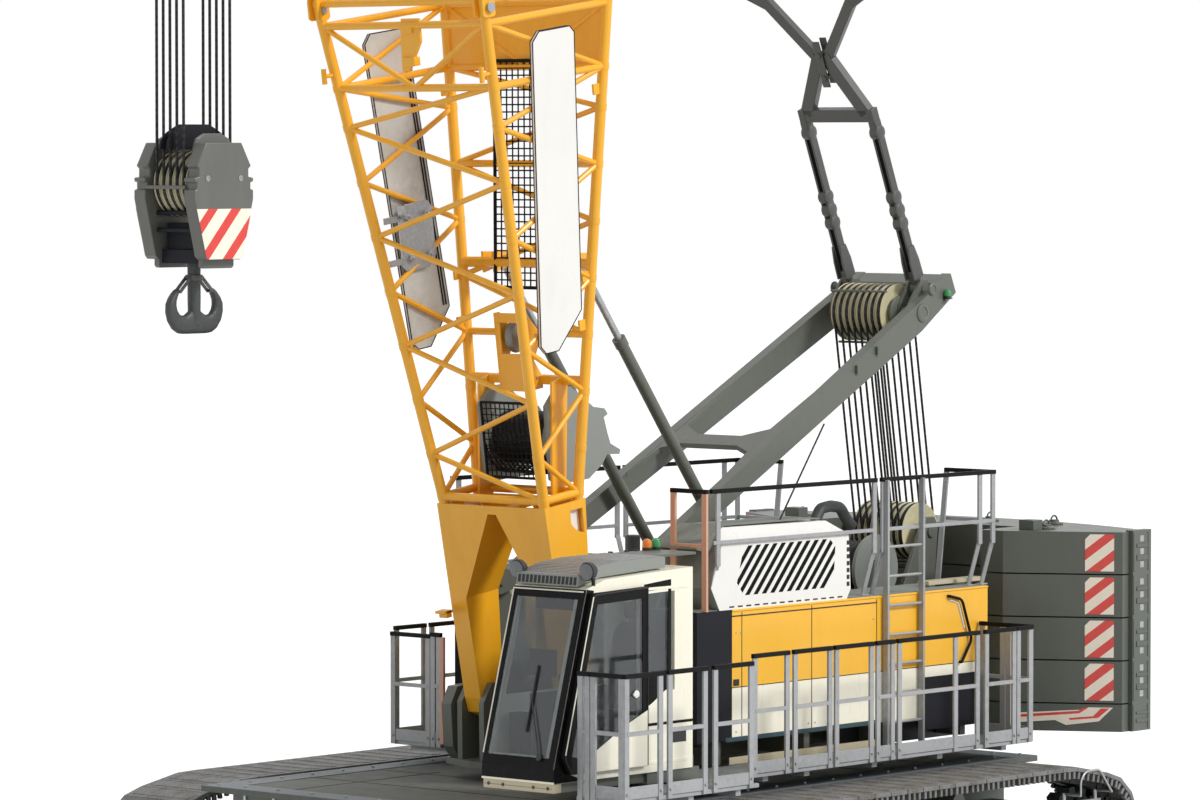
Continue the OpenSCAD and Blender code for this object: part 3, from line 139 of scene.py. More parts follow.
# Moulded or extruded polymer: even colour, faint spark-eroded grain
def polymer(name, colour, rough, grainMm=4, extra=None):
    material, tree, place = startMaterial(name)
    grain = addNode(tree, "ShaderNodeTexNoise", {"Vector": place, "Scale": perMetre(grainMm), "Detail": 3.0})
    scuffs = addNode(tree, "ShaderNodeTexNoise", {"Vector": place, "Scale": perMetre(70), "Detail": 4.0})
    scuffed = addNode(tree, "ShaderNodeMapRange", {
        "Value": scuffs, "From Min": 0.45, "From Max": 0.75, "To Min": 0.0, "To Max": 0.35})
    mixed = addNode(tree, "ShaderNodeMix", {
        0: scuffed, 6: linear(colour), 7: tinted(colour, 1.35, 0.01)}, data_type="RGBA")
    dulled = addNode(tree, "ShaderNodeMapRange", {
        "Value": grain, "From Min": 0.3, "From Max": 0.7, "To Min": rough - 0.05, "To Max": rough + 0.07})
    relief = addNode(tree, "ShaderNodeBump", {"Height": grain, "Strength": 0.08, "Distance": 0.0008})
    shader = addNode(tree, "ShaderNodeBsdfPrincipled", {
        "Base Color": mixed.outputs[2], "IOR": 1.5, "Roughness": dulled, "Normal": relief, **(extra or {})})
    addNode(tree, "ShaderNodeOutputMaterial", {"Surface": shader})
    return material


# Laminated safety glass, tinted grey: it mirrors the sky and lets the dark cab show through
def safetyGlass(name, tint):
    material, tree, place = startMaterial(name)
    film = addNode(tree, "ShaderNodeTexNoise", {"Vector": place, "Scale": perMetre(240), "Detail": 5.0})
    smeared = addNode(tree, "ShaderNodeMapRange", {
        "Value": film, "From Min": 0.4, "From Max": 0.8, "To Min": 0.02, "To Max": 0.12})
    shader = addNode(tree, "ShaderNodeBsdfPrincipled", {
        "Base Color": linear(tint), "IOR": 1.52, "Transmission Weight": 0.96, "Specular IOR Level": 0.1,
        "Roughness": smeared})
    addNode(tree, "ShaderNodeOutputMaterial", {"Surface": shader})
    return material


# Clear or coloured polycarbonate lens with a moulded ribbing
def lens(name, colour, glow):
    material, tree, place = startMaterial(name)
    ribs = addNode(tree, "ShaderNodeTexWave", {
        "Vector": place, "Scale": perMetre(9) / math.tau}, bands_direction="Z")
    relief = addNode(tree, "ShaderNodeBump", {"Height": ribs, "Strength": 0.5, "Distance": 0.002})
    shader = addNode(tree, "ShaderNodeBsdfPrincipled", {
        "Base Color": linear(colour), "IOR": 1.58, "Transmission Weight": 0.35, "Roughness": 0.12,
        "Emission Color": linear(colour), "Emission Strength": glow, "Normal": relief})
    addNode(tree, "ShaderNodeOutputMaterial", {"Surface": shader})
    return material


# Spiral wire rope, greased: dark, with strands that catch the light across it
def wireRope(name, colour, strandMm):
    material, tree, place = startMaterial(name)
    strands = addNode(tree, "ShaderNodeTexWave", {
        "Vector": place, "Scale": perMetre(strandMm) / 3.14, "Distortion": 0.6, "Detail": 1.0},
        bands_direction="DIAGONAL").outputs[1]
    mixed = addNode(tree, "ShaderNodeMix", {
        0: strands, 6: linear(colour), 7: tinted(colour, 3.0)}, data_type="RGBA")
    rubbed = addNode(tree, "ShaderNodeMapRange", {
        "Value": strands, "From Min": 0.0, "From Max": 1.0, "To Min": 0.6, "To Max": 0.4})
    relief = addNode(tree, "ShaderNodeBump", {"Height": strands, "Strength": 0.6, "Distance": 0.004})
    shader = addNode(tree, "ShaderNodeBsdfPrincipled", {
        "Base Color": mixed.outputs[2], "Metallic": 0.45, "Roughness": rubbed, "Normal": relief})
    addNode(tree, "ShaderNodeOutputMaterial", {"Surface": shader})
    return material


# Woven polyester seat cloth: matt, soft edge sheen, 3 mm weave drawn at 8 mm
def seatWeave(name, colour):
    material, tree, place = startMaterial(name)
    across, along = (addNode(tree, "ShaderNodeTexWave", {
        "Vector": place, "Scale": perMetre(8) / 6.28}, bands_direction=way).outputs[1] for way in "YZ")
    weave = addNode(tree, "ShaderNodeMath", {0: across, 1: along}, operation="MULTIPLY")
    mixed = addNode(tree, "ShaderNodeMix", {
        0: weave, 6: linear(colour), 7: tinted(colour, 2.2, 0.01)}, data_type="RGBA")
    relief = addNode(tree, "ShaderNodeBump", {"Height": weave, "Strength": 0.4, "Distance": 0.002})
    shader = addNode(tree, "ShaderNodeBsdfPrincipled", {
        "Base Color": mixed.outputs[2], "Roughness": 0.9, "Sheen Weight": 0.35, "Sheen Roughness": 0.5,
        "Normal": relief})
    addNode(tree, "ShaderNodeOutputMaterial", {"Surface": shader})
    return material


# Hot-dip galvanised steel: pale grey with large soft zinc flowers
def galvanised(name, colour):
    material, tree, place = startMaterial(name)
    flowers = addNode(tree, "ShaderNodeTexVoronoi", {"Vector": place, "Scale": perMetre(28)}).outputs["Color"]
    tone = addNode(tree, "ShaderNodeSeparateColor", {"Color": flowers})
    mixed = addNode(tree, "ShaderNodeMix", {
        0: tone, 6: linear(colour), 7: tinted(colour, 0.84)}, data_type="RGBA")
    dulled = addNode(tree, "ShaderNodeMapRange", {
        "Value": tone, "From Min": 0.0, "From Max": 1.0, "To Min": 0.34, "To Max": 0.5})
    shader = addNode(tree, "ShaderNodeBsdfPrincipled", {
        "Base Color": mixed.outputs[2], "Metallic": 0.75, "Roughness": dulled})
    addNode(tree, "ShaderNodeOutputMaterial", {"Surface": shader})
    return material


boomEnamel = enamel("boom_signal_yellow_enamel", "#ffb820", "#b98a3c", 0.2, 0.36)
panelEnamel = enamel("panel_yellow_enamel", "#ffc02c", "#c29a4b", 0.12, 0.3)
creamEnamel = enamel("cab_cream_enamel", "#fdf9e6", "#cfc8b2", 0.12, 0.28)
whiteEnamel = enamel("housing_white_enamel", "#f5f3ef", "#c9c7bf", 0.12, 0.3)
weightEnamel = enamel("weight_stone_grey_enamel", "#555a53", "#77786f", 0.22, 0.48)
frameEnamel = enamel("frame_grey_enamel", "#5d6159", "#77786f", 0.22, 0.45)
linkEnamel = enamel("pendant_dark_enamel", "#444543", "#6d6c66", 0.2, 0.42)
charcoalEnamel = enamel("panel_charcoal_enamel", "#24252b", "#3c3b3b", 0.12, 0.45, 0.0)
blackEnamel = enamel("rail_black_enamel", "#121213", "#2d2c2b", 0.1, 0.5, 0.0)
# near-black that paints shade, inside the louvres and between the paired pendant links
paintedShadeBlack = enamel("painted_shade_black", "#0c0c0d", "#1d1c1b", 0.08, 0.7, 0.0)
cheekEnamel = enamel("hook_block_enamel", "#5f605c", "#8c8b82", 0.2, 0.45)
winchEnamel = enamel("winch_pale_grey_enamel", "#868b86", "#a1a198", 0.18, 0.42)
salmonEnamel = enamel("gate_salmon_enamel", "#dda58b", "#b98f77", 0.15, 0.4)
# beige; on the cab sill it is painted shade, the cab cream as it reads in shade
beigeAndShadedCreamEnamel = enamel("beige_and_shaded_cream_enamel", "#cbbfa1", "#9b9280", 0.16, 0.42)
tealEnamel = enamel("line_teal_enamel", "#1f404a", "#6f8a84", 0.12, 0.4)
roofCoating = wornSteel("anti_slip_roof_coating", "#888e87", "#6d7069", 0.5, 0.0, 0.78, 14)
deckCoating = wornSteel("anti_slip_deck_coating", "#5c615d", "#77776c", 0.55, 0.0, 0.7, 16)
deckPaint = wornSteel("deck_border_paint", "#6c747a", "#7c7b72", 0.4, 0.1, 0.55, 18)
shoeSteel = wornSteel("cast_track_shoe_steel", "#7b7c7c", "#574f45", 0.75, 0.35, 0.55, 22)
linkSteel = wornSteel("forged_track_link_steel", "#4a4c4b", "#39342c", 0.7, 0.35, 0.6, 22)
wheelSteel = wornSteel("cast_wheel_steel", "#56595a", "#4a443b", 0.6, 0.3, 0.55, 26)
brightSteel = wornSteel("ground_pin_steel", "#a7a9aa", "#6d6b66", 0.3, 0.9, 0.34, 12)
aluminium = wornSteel("extruded_aluminium", "#a9abad", "#85878a", 0.4, 0.25, 0.45, 60)
boardBack = wornSteel("weathered_aluminium_sheet", "#d0d1cd", "#a9aba7", 0.5, 0.1, 0.5, 90)
grating = wornSteel("pressed_aluminium_walkway", "#b3b6b6", "#8d8f8c", 0.5, 0.45, 0.5, 30)
zincSteel = galvanised("galvanised_steel", "#b3b6b8")
hookSteel = wornSteel("forged_hook_steel", "#46494a", "#37342f", 0.4, 0.3, 0.5, 30)
nylon = polymer("cast_nylon_sheave", "#cfc8a3", 0.5, 6)  # cream, waxy, dulled by rope grease
blackPlastic = polymer("moulded_black_abs", "#1f2022", 0.45)
greyPlastic = polymer("moulded_grey_abs", "#5d6062", 0.5)
# dark rubber of seals and joints, also used as painted shade inside slots
sealRubberAndSlotShade = polymer("epdm_seal_and_slot_shade", "#161719", 0.55, 5)
hoseRubber = polymer("hydraulic_hose_rubber", "#1b1b1c", 0.5, 6)
frit = polymer("black_enamelled_glass_edge", "#0b0b0e", 0.2, 30, {"Specular IOR Level": 0.12})
screenFace = polymer("display_face", "#0f1820", 0.1, 30, {"Coat Weight": 0.8, "Coat Roughness": 0.03})
redTape = polymer("retroreflective_red_film", "#e0392f", 0.35, 3, {"Coat Weight": 0.5})
whiteTape = polymer("retroreflective_white_film", "#fdf2df", 0.35, 3, {"Coat Weight": 0.5})
cabGlass = safetyGlass("tinted_safety_glass", "#b4bbc0")
lampLens = lens("clear_lamp_lens", "#7c8083", 0.0)
amberLens = lens("amber_beacon_lens", "#f08a1d", 0.1)
greenLens = lens("green_beacon_lens", "#35a35a", 0.1)
rope = wireRope("greased_wire_rope", "#161617", 34)
seatCloth = seatWeave("seat_polyester_cloth", "#2b2d31")

print("materials made")


# Mesh tools

def addBox(bm, start, end):  # between two opposite corners, in any order
    low = Vector([min(pair) for pair in zip(start, end)])
    high = Vector([max(pair) for pair in zip(start, end)])
    place = Matrix.Translation((low + high) / 2) @ Matrix.Diagonal((*(high - low), 1.0))
    bmesh.ops.create_cube(bm, size=1.0, matrix=place)


def addRod(bm, start, end, radius, sides=12, endRadius=None):
    start, end = Vector(start), Vector(end)
    turn = (end - start).to_track_quat("Z", "Y").to_matrix().to_4x4()
    bmesh.ops.create_cone(bm, segments=sides, radius1=radius, radius2=endRadius or radius,
                          depth=(end - start).length, cap_ends=True, cap_tris=False,
                          matrix=Matrix.Translation((start + end) / 2) @ turn)


def addPlate(bm, corners, offset):  # a flat outline with its thickness as a vector
    face = bm.faces.new([bm.verts.new(c) for c in corners])
    grown = bmesh.ops.extrude_face_region(bm, geom=[face])["geom"]
    moved = [g for g in grown if isinstance(g, bmesh.types.BMVert)]
    bmesh.ops.translate(bm, verts=moved, vec=Vector(offset))


def sidePlate(bm, outline, y0, y1):  # an outline in (x, z) between two values of y
    y0, y1 = sorted((y0, y1))
    addPlate(bm, [(x, y0, z) for x, z in outline], (0, y1 - y0, 0))


def addBeam(bm, start, end, side, width, depth):  # a rectangular bar, with side pointing across its width
    start, end = Vector(start), Vector(end)
    along = end - start
    side = Vector(side)
    side = (side - along * (side.dot(along) / along.length_squared)).normalized() * width / 2
    other = along.cross(side).normalized() * depth / 2
    corners = [start + side + other, start - side + other, start - side - other, start + side - other]
    addPlate(bm, corners, along)


def joinRings(bm, rings, closed=False):  # walls between rings of points, with end caps unless closed
    following = rings[1:] + rings[:1] if closed else rings[1:]
    for a, b in zip(rings, following):
        for i in range(len(a)):
            j = (i + 1) % len(a)
            bm.faces.new((a[i], a[j], b[j], b[i]))
    if not closed:
        bm.faces.new(rings[0][::-1])
        bm.faces.new(rings[-1])


# A turned part: the profile is a row of (radius, distance along the axis)
def addTurned(bm, profile, centre, axis, sides=32, closed=False):
    turn = Vector(axis).to_track_quat("Z", "Y").to_matrix()
    angles = [math.tau * i / sides for i in range(sides)]
    rings = []
    for radius, along in profile:
        spots = [Vector((radius * math.cos(a), radius * math.sin(a), along)) for a in angles]
        rings.append([bm.verts.new(Vector(centre) + turn @ spot) for spot in spots])
    joinRings(bm, rings, closed)


def addSweep(bm, path, radius, sides=8):  # a round bar along a path
    points = [Vector(p) for p in path]
    angles = [math.tau * i / sides for i in range(sides)]
    side = None
    rings = []
    for i, p in enumerate(points):
        ahead = (points[min(i + 1, len(points) - 1)] - points[max(i - 1, 0)]).normalized()
        if side is None:
            side = ahead.orthogonal().normalized()
        side = (side - ahead * side.dot(ahead)).normalized()
        other = ahead.cross(side)
        rings.append([bm.verts.new(p + radius * (math.cos(a) * side + math.sin(a) * other)) for a in angles])
    joinRings(bm, rings)


def rounded(path, radius, steps=5):  # turns the corners of a path into arcs
    points = [Vector(p) for p in path]
    out = [points[0]]
    for a, b, c in zip(points, points[1:], points[2:]):
        start, end = b + (a - b).normalized() * radius, b + (c - b).normalized() * radius
        for k in range(steps + 1):
            f = k / steps
            out.append((1 - f) ** 2 * start + 2 * f * (1 - f) * b + f * f * end)
    return out + [points[-1]]


def sheaveSet(name, centre, radius, count, pitch, body):  # nylon sheaves with a turn of rope in each groove
    rims, turns = bmesh.new(), bmesh.new()
    r, p, wire = radius, pitch, 0.015
    angles = [math.tau * k / 8 for k in range(8)]
    section = [(0.2 * r, -0.3), (0.8 * r, -0.2), (0.93 * r, -0.42), (r, -0.42), (r, -0.33), (0.9 * r, -0.1),
               (0.9 * r, 0.1), (r, 0.33), (r, 0.42), (0.93 * r, 0.42), (0.8 * r, 0.2), (0.2 * r, 0.3)]
    for i in range(count):
        c = Vector(centre) + Vector((0, (i - (count - 1) / 2) * p, 0))
        addTurned(rims, [(a, b * p) for a, b in section], c, (0, 1, 0), 48, closed=True)
        coil = [(0.9 * r + wire * (1 + math.cos(a)), 0.31 * p * math.sin(a)) for a in angles]
        addTurned(turns, coil, c, (0, 1, 0), 48, closed=True)
    finishPiece(f"{name}_rope_turns", turns, rope, body)
    return finishPiece(name, rims, nylon, body)


def addBolt(bm, place, axis, size, head=0.6):  # a hexagon head on a washer
    place, axis = Vector(place), Vector(axis).normalized()
    addRod(bm, place, place + axis * size * 0.12, size * 0.62, 16)
    addRod(bm, place + axis * size * 0.12, place + axis * size * head, size * 0.5, 6)


def finishPiece(name, bm, materials, body, bevel=0.0, into=None, angle=32):
    if into is not None:
        bmesh.ops.transform(bm, matrix=into, verts=bm.verts)
    bmesh.ops.recalc_face_normals(bm, faces=bm.faces)
    mesh = bpy.data.meshes.new(name)
    bm.to_mesh(mesh)
    bm.free()
    obj = bpy.data.objects.new(name, mesh)
    bpy.context.scene.collection.objects.link(obj)
    for material in materials if isinstance(materials, list) else [materials]:
        mesh.materials.append(material)
    mesh.shade_smooth()
    mesh.set_sharp_from_angle(angle=math.radians(angle))
    if bevel:
        cut = obj.modifiers.new("edge_round", "BEVEL")
        cut.width, cut.segments, cut.limit_method = bevel, 2, "ANGLE"
        cut.angle_limit = math.radians(40)
        cut.use_clamp_overlap = True
    if body:
        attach(obj, body)
    return obj


leftRight = ((1, "left"), (-1, "right"))


def bothSides(build):
    for side, word in leftRight:
        build(side, word)


def leaningFrame(degrees, x, z):  # along a leaning member, across it, and towards its rear
    c, s = math.cos(math.radians(degrees)), math.sin(math.radians(degrees))
    return Matrix(((c, 0, -s, x), (0, 1, 0, 0), (s, 0, c, z), (0, 0, 0, 1)))


# Finishes of the nodes that are kept

nodesOf = {
    frameEnamel: ("carbody", "side_frame_left", "side_frame_right", "main_frame", "rear_deck", "cab_mount",
                  "gantry", "backstop_tubes"),
    weightEnamel: ("carbody_weights", "weight_base", "weight_1", "weight_2", "weight_3", "weight_4"),
    boomEnamel: ("foot_plates", "foot_lattice", "middle_section_1", "middle_section_2", "head_section"),
    winchEnamel: ("hoist_winches", "luffing_winch", "boom_winch"),
    nylon: ("luffing_sheaves", "gantry_sheaves", "head_sheaves"),
    whiteEnamel: ("louvre_housing", "right_housing", "board_left"), creamEnamel: ("panels_lower", "cab_shell"),
    wheelSteel: ("drive_sprockets", "idler_wheels"), linkEnamel: ("spreader", "pendant_bars"),
    aluminium: ("railing_left", "railing_right", "roof_railings"), grating: ("walkway_left", "walkway_right"),
    deckCoating: ("deck_plates",), panelEnamel: ("panels_upper",), charcoalEnamel: ("panels_front",),
    blackEnamel: ("cab_door",), zincSteel: ("backstop_rods",), boardBack: ("board_right",),
    cheekEnamel: ("hook_block",), hookSteel: ("hook",)}
for finish, names in nodesOf.items():
    for name in names:
        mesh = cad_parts[name].data
        if not mesh.materials:
            mesh.materials.append(finish)
        for i in range(len(mesh.materials)):
            mesh.materials[i] = finish
print("nodes finished:", sum(len(names) for names in nodesOf.values()))


# Crawler tracks: cast shoes on forged links

track = {
    "lane": 2.635, "wheelX": 3.42, "runRadius": 0.56, "topX": 2.95, "topZ": 1.216, "pitch": 0.24,
    "shoeHalf": 0.432, "shoeLength": 0.231, "plate": 0.045, "lip": 0.005, "linkDepth": 0.15}


def trackPath(s):
    x, r, top = track["wheelX"], track["runRadius"], track["topX"]
    dx, dz = x - top, track["topZ"] - r
    length = math.hypot(dx, dz)
    tilt = math.atan2(dz, -dx) - (math.pi / 2 - math.asin(r / length))
    slope = length * math.cos(math.asin(r / length))
    arc = r * (tilt + math.pi / 2)
    half = x + arc + slope + top
    s %= 2 * half
    mirrored = s > half
    if mirrored:
        s = 2 * half - s
    if s < x:
        p = (s, 0.0)
    elif s < x + arc:
        a = -math.pi / 2 + (s - x) / r
        p = (x + r * math.cos(a), r + r * math.sin(a))
    elif s < x + arc + slope:
        t = s - x - arc
        p = (x + r * math.cos(tilt) - t * math.sin(tilt), r + r * math.sin(tilt) + t * math.cos(tilt))
    else:
        p = (top - (s - x - arc - slope), track["topZ"])
    return (-p[0] if mirrored else p[0], p[1]), 2 * half


def shoeTemplate():
    half, length, plate = track["shoeHalf"], track["shoeLength"] / 2, track["plate"]
    lip, deep = track["lip"], track["linkDepth"]
    cast, forged = bmesh.new(), bmesh.new()
    addBox(cast, (-length, -half, -plate), (length, half, -lip))
    addBox(cast, (-length * 0.55, -half + 0.07, -plate), (length * 0.55, half - 0.07, 0))
    for y in (-0.137, 0.137):
        for x in (-0.035, 0.035):
            addRod(cast, (x * 2.1, y, -plate), (x * 2.1, y, -0.001), 0.016, 6)
    for k in (-1, 1):
        addBox(forged, (-0.112, k * 0.095, -deep), (0.112, k * 0.18, -plate))
        for x in (-0.075, 0.0, 0.075):
            addBox(cast, (x - 0.016, k * (half - 0.05), -0.115), (x + 0.016, k * (half - 0.008), -plate))
    addRod(forged, (0.12, -0.195, -0.1), (0.12, 0.195, -0.1), 0.028, 10)
    out = []
    for bm in (cast, forged):
        mesh = bpy.data.meshes.new("shoe")
        bm.to_mesh(mesh)
        bm.free()
        out.append(mesh)
    return out


def buildTracks():
    count = round(trackPath(0)[1] / track["pitch"])
    step = trackPath(0)[1] / count
    templates = shoeTemplate()
    for side, word in leftRight:
        made = []
        for template, kind, material in zip(templates, ("shoes", "links"), (shoeSteel, linkSteel)):
            bm = bmesh.new()
            for i in range(count):
                a, b = (Vector(trackPath(i * step + k * track["shoeLength"] / 2)[0]) for k in (-1, 1))
                ahead, middle = (b - a).normalized(), (a + b) / 2
                along = Vector((ahead.x, 0, ahead.y))
                out = Vector((ahead.y, 0, -ahead.x))
                across = out.cross(along)
                known = len(bm.verts)
                bm.from_mesh(template)
                bm.verts.ensure_lookup_table()
                place = Matrix((along, across, out)).transposed().to_4x4()
                place.translation = Vector((middle.x, side * track["lane"], middle.y))
                bmesh.ops.transform(bm, verts=bm.verts[known:], matrix=place)
            made.append(finishPiece(f"track_{kind}_{word}", bm, material, "undercarriage",
                                    0.004 if kind == "shoes" else 0.006))
        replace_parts(made[0], f"track_{word}")
    for template in templates:
        bpy.data.meshes.remove(template)


buildTracks()
print("tracks made")


# Undercarriage: deck borders, bolts, steps, ribs, drive caps and guard loops

deck = {"x": 3.6, "y": 2.125, "top": 1.2, "border": 0.3, "rise": 0.006, "boltPitch": 0.42, "bolt": 0.03}


def buildDeck():
    x, y, z, w = deck["x"], deck["y"], deck["top"], deck["border"]
    bm = bmesh.new()
    for k in (-1, 1):
        addBox(bm, (k * (x - w / 2) - w / 2, -y, z), (k * (x - w / 2) + w / 2, y, z + deck["rise"]))
        addBox(bm, (-x + w, k * (y - w / 2) - w / 2, z), (x - w, k * (y - w / 2) + w / 2, z + deck["rise"]))
    finishPiece("deck_borders", bm, deckPaint, "undercarriage", 0.002)
    bm = bmesh.new()
    n = int(2 * x / deck["boltPitch"])
    spots = [(-x + 0.08 + i * (2 * x - 0.16) / n, k * (y - w / 2)) for i in range(n + 1) for k in (-1, 1)]
    spots += [(k * (x - w / 2), -1.7 + i * 0.425) for i in range(9) for k in (-1, 1)]
    for spot in spots:
        addBolt(bm, (*spot, z + deck["rise"]), (0, 0, 1), deck["bolt"], 0.5)
    finishPiece("deck_bolts", bm, brightSteel, "undercarriage")
    bm = bmesh.new()
    for seam in (-2.4, -1.5, 1.5, 2.4):
        addBox(bm, (seam - 0.012, -y + w, z), (seam + 0.012, y - w, z + 0.003))
    for k in (-1, 1):
        addBox(bm, (-x + w, k * 1.25 - 0.012, z), (-1.3, k * 1.25 + 0.012, z + 0.003))
        addBox(bm, (1.3, k * 1.25 - 0.012, z), (x - w, k * 1.25 + 0.012, z + 0.003))
    finishPiece("deck_seams", bm, sealRubberAndSlotShade, "undercarriage")
    bm = bmesh.new()  # steps on the front and rear edge
    for k in (-1, 1):
        for y0 in (-1.6, 1.2):
            for level in (0.62, 0.9):
                addBox(bm, (k * x - 0.09, y0, level), (k * x - 0.001, y0 + 0.4, level + 0.03))
            for side in (y0, y0 + 0.37):
                addBox(bm, (k * x - 0.06, side, 0.6), (k * x - 0.02, side + 0.03, z - 0.05))
    finishPiece("undercarriage_steps", bm, zincSteel, "undercarriage", 0.003)


def buildSideFrames():
    bm = bmesh.new()
    for side in (1, -1):
        for i in range(12):
            x = -2.42 + i * 0.44
            y = side * (track["lane"] + 0.24)
            addBox(bm, (x - 0.012, y, 0.42), (x + 0.012, y + side * 0.028, 0.84))
            addBolt(bm, (x + 0.22, y, 0.62), (0, side, 0), 0.036, 0.5)
    finishPiece("side_frame_ribs", bm, frameEnamel, "undercarriage", 0.003)
    bm = bmesh.new()
    for side in (1, -1):
        for k, r in ((-1, 0.15), (1, 0.11)):
            centre = Vector((k * track["wheelX"], side * (track["lane"] + 0.265), track["runRadius"]))
            profile = [(0.001, 0.035), (r * 0.5, 0.035), (r * 0.62, 0.02), (r, 0.016), (r, -0.03),
                       (0.001, -0.03)]
            addTurned(bm, profile, centre, (0, side, 0), 24)
            for i in range(8):
                a = math.tau * i / 8
                spot = centre + Vector((math.cos(a), 0, math.sin(a))) * r * 0.8 + Vector((0, side * 0.016, 0))
                addBolt(bm, spot, (0, side, 0), 0.022, 0.6)
    finishPiece("final_drive_caps", bm, frameEnamel, "undercarriage")
    bm = bmesh.new()  # bent guard loop at the rear of each side frame
    for side in (1, -1):
        y = side * 3.074
        loop = [(-3.02, y, 0.93), (-3.02, y, 1.08), (-3.1, y, 1.155), (-3.32, y, 1.16), (-3.52, y, 0.93)]
        addSweep(bm, rounded(loop, 0.05), 0.011)
        for x in (-3.02, -3.52):
            addRod(bm, (x, side * 2.86, 0.93), (x, side * 3.08, 0.93), 0.012, 8)
            addRod(bm, (x, side * 2.875, 0.84), (x, side * 2.875, 0.94), 0.02, 8)
        addBox(bm, (-3.6, side * 2.875 - 0.015, 0.6), (-2.7, side * 2.875 + 0.015, 0.85))
    finishPiece("track_guard_loops", bm, zincSteel, "undercarriage", 0.002)


buildDeck()
buildSideFrames()
print("undercarriage dressed")


# The boom's own frame: s along it, y across, t towards its rear

boom = {"footX": 1.41, "footZ": 1.93, "angle": 82.1, "footLength": 6.6, "plateLength": 1.93,
        "footWidth": 0.62, "widthGain": 0.4, "footDepth": 0.235, "depthGain": 0.615, "sections": [6.6, 12.6, 18.6]}
ontoBoom = leaningFrame(boom["angle"], boom["footX"], boom["footZ"])


def boomShare(s):
    return min(1.0, (s - boom["plateLength"]) / (boom["footLength"] - boom["plateLength"]))


def halfWidth(s):
    return boom["footWidth"] + boom["widthGain"] * boomShare(s)


def halfDepth(s):
    return boom["footDepth"] + boom["depthGain"] * boomShare(s)


def chordPoint(s, side, face):  # side is 1 on the left, face is 1 at the rear
    return Vector((s, side * halfWidth(s), face * halfDepth(s)))


# Section joints: forged eyes with a pin across, one at each chord
joints = {"pin": 0.034, "collar": 0.048, "reach": 0.26, "footReach": 0.09, "cheek": 0.024}


def buildJoints():
    eyes, pins = bmesh.new(), bmesh.new()
    for s in boom["sections"]:
        below = joints["footReach"] if s == boom["footLength"] else joints["reach"]
        edge = [(s - below, 0.055), (s - 0.07, 0.082), (s + 0.08, 0.082), (s + joints["reach"], 0.055)]
        for c in (chordPoint(s, side, face) for side in (-1, 1) for face in (-1, 1)):
            side = math.copysign(1, c.y)
            outline = [(a, c.z - t) for a, t in edge] + [(a, c.z + t) for a, t in reversed(edge)]
            for y in (-0.062, 0.038):
                sidePlate(eyes, outline, c.y + y, c.y + y + joints["cheek"])
            addRod(pins, (s, c.y - 0.085, c.z), (s, c.y + 0.085, c.z), joints["pin"], 16)
            addRod(pins, (s, c.y + side * 0.085, c.z), (s, c.y + side * 0.095, c.z), joints["collar"], 16)
            addRod(pins, (s - 0.05, c.y + side * 0.09, c.z), (s + 0.05, c.y + side * 0.09, c.z), 0.006, 8)
    finishPiece("boom_joint_eyes", eyes, boomEnamel, "boom", 0.004, ontoBoom)
    finishPiece("boom_joint_pins", pins, zincSteel, "boom", 0.003, ontoBoom)


# Weld collars where each lacing tube meets its chord
def buildWelds():
    bm = bmesh.new()
    spots = [1.99] + [2.4 + i * 3.1 / 6 for i in range(7)] + [5.87]
    for start in boom["sections"][:2]:
        spots += [start + 0.06 + i * 5.88 / 8 for i in range(9)]
    for s in spots:
        for side in (-1, 1):
            for face in (-1, 1):
                addRod(bm, chordPoint(s - 0.03, side, face), chordPoint(s + 0.03, side, face), 0.0535, 14)
    finishPiece("boom_welds", bm, boomEnamel, "boom", 0.002, ontoBoom)


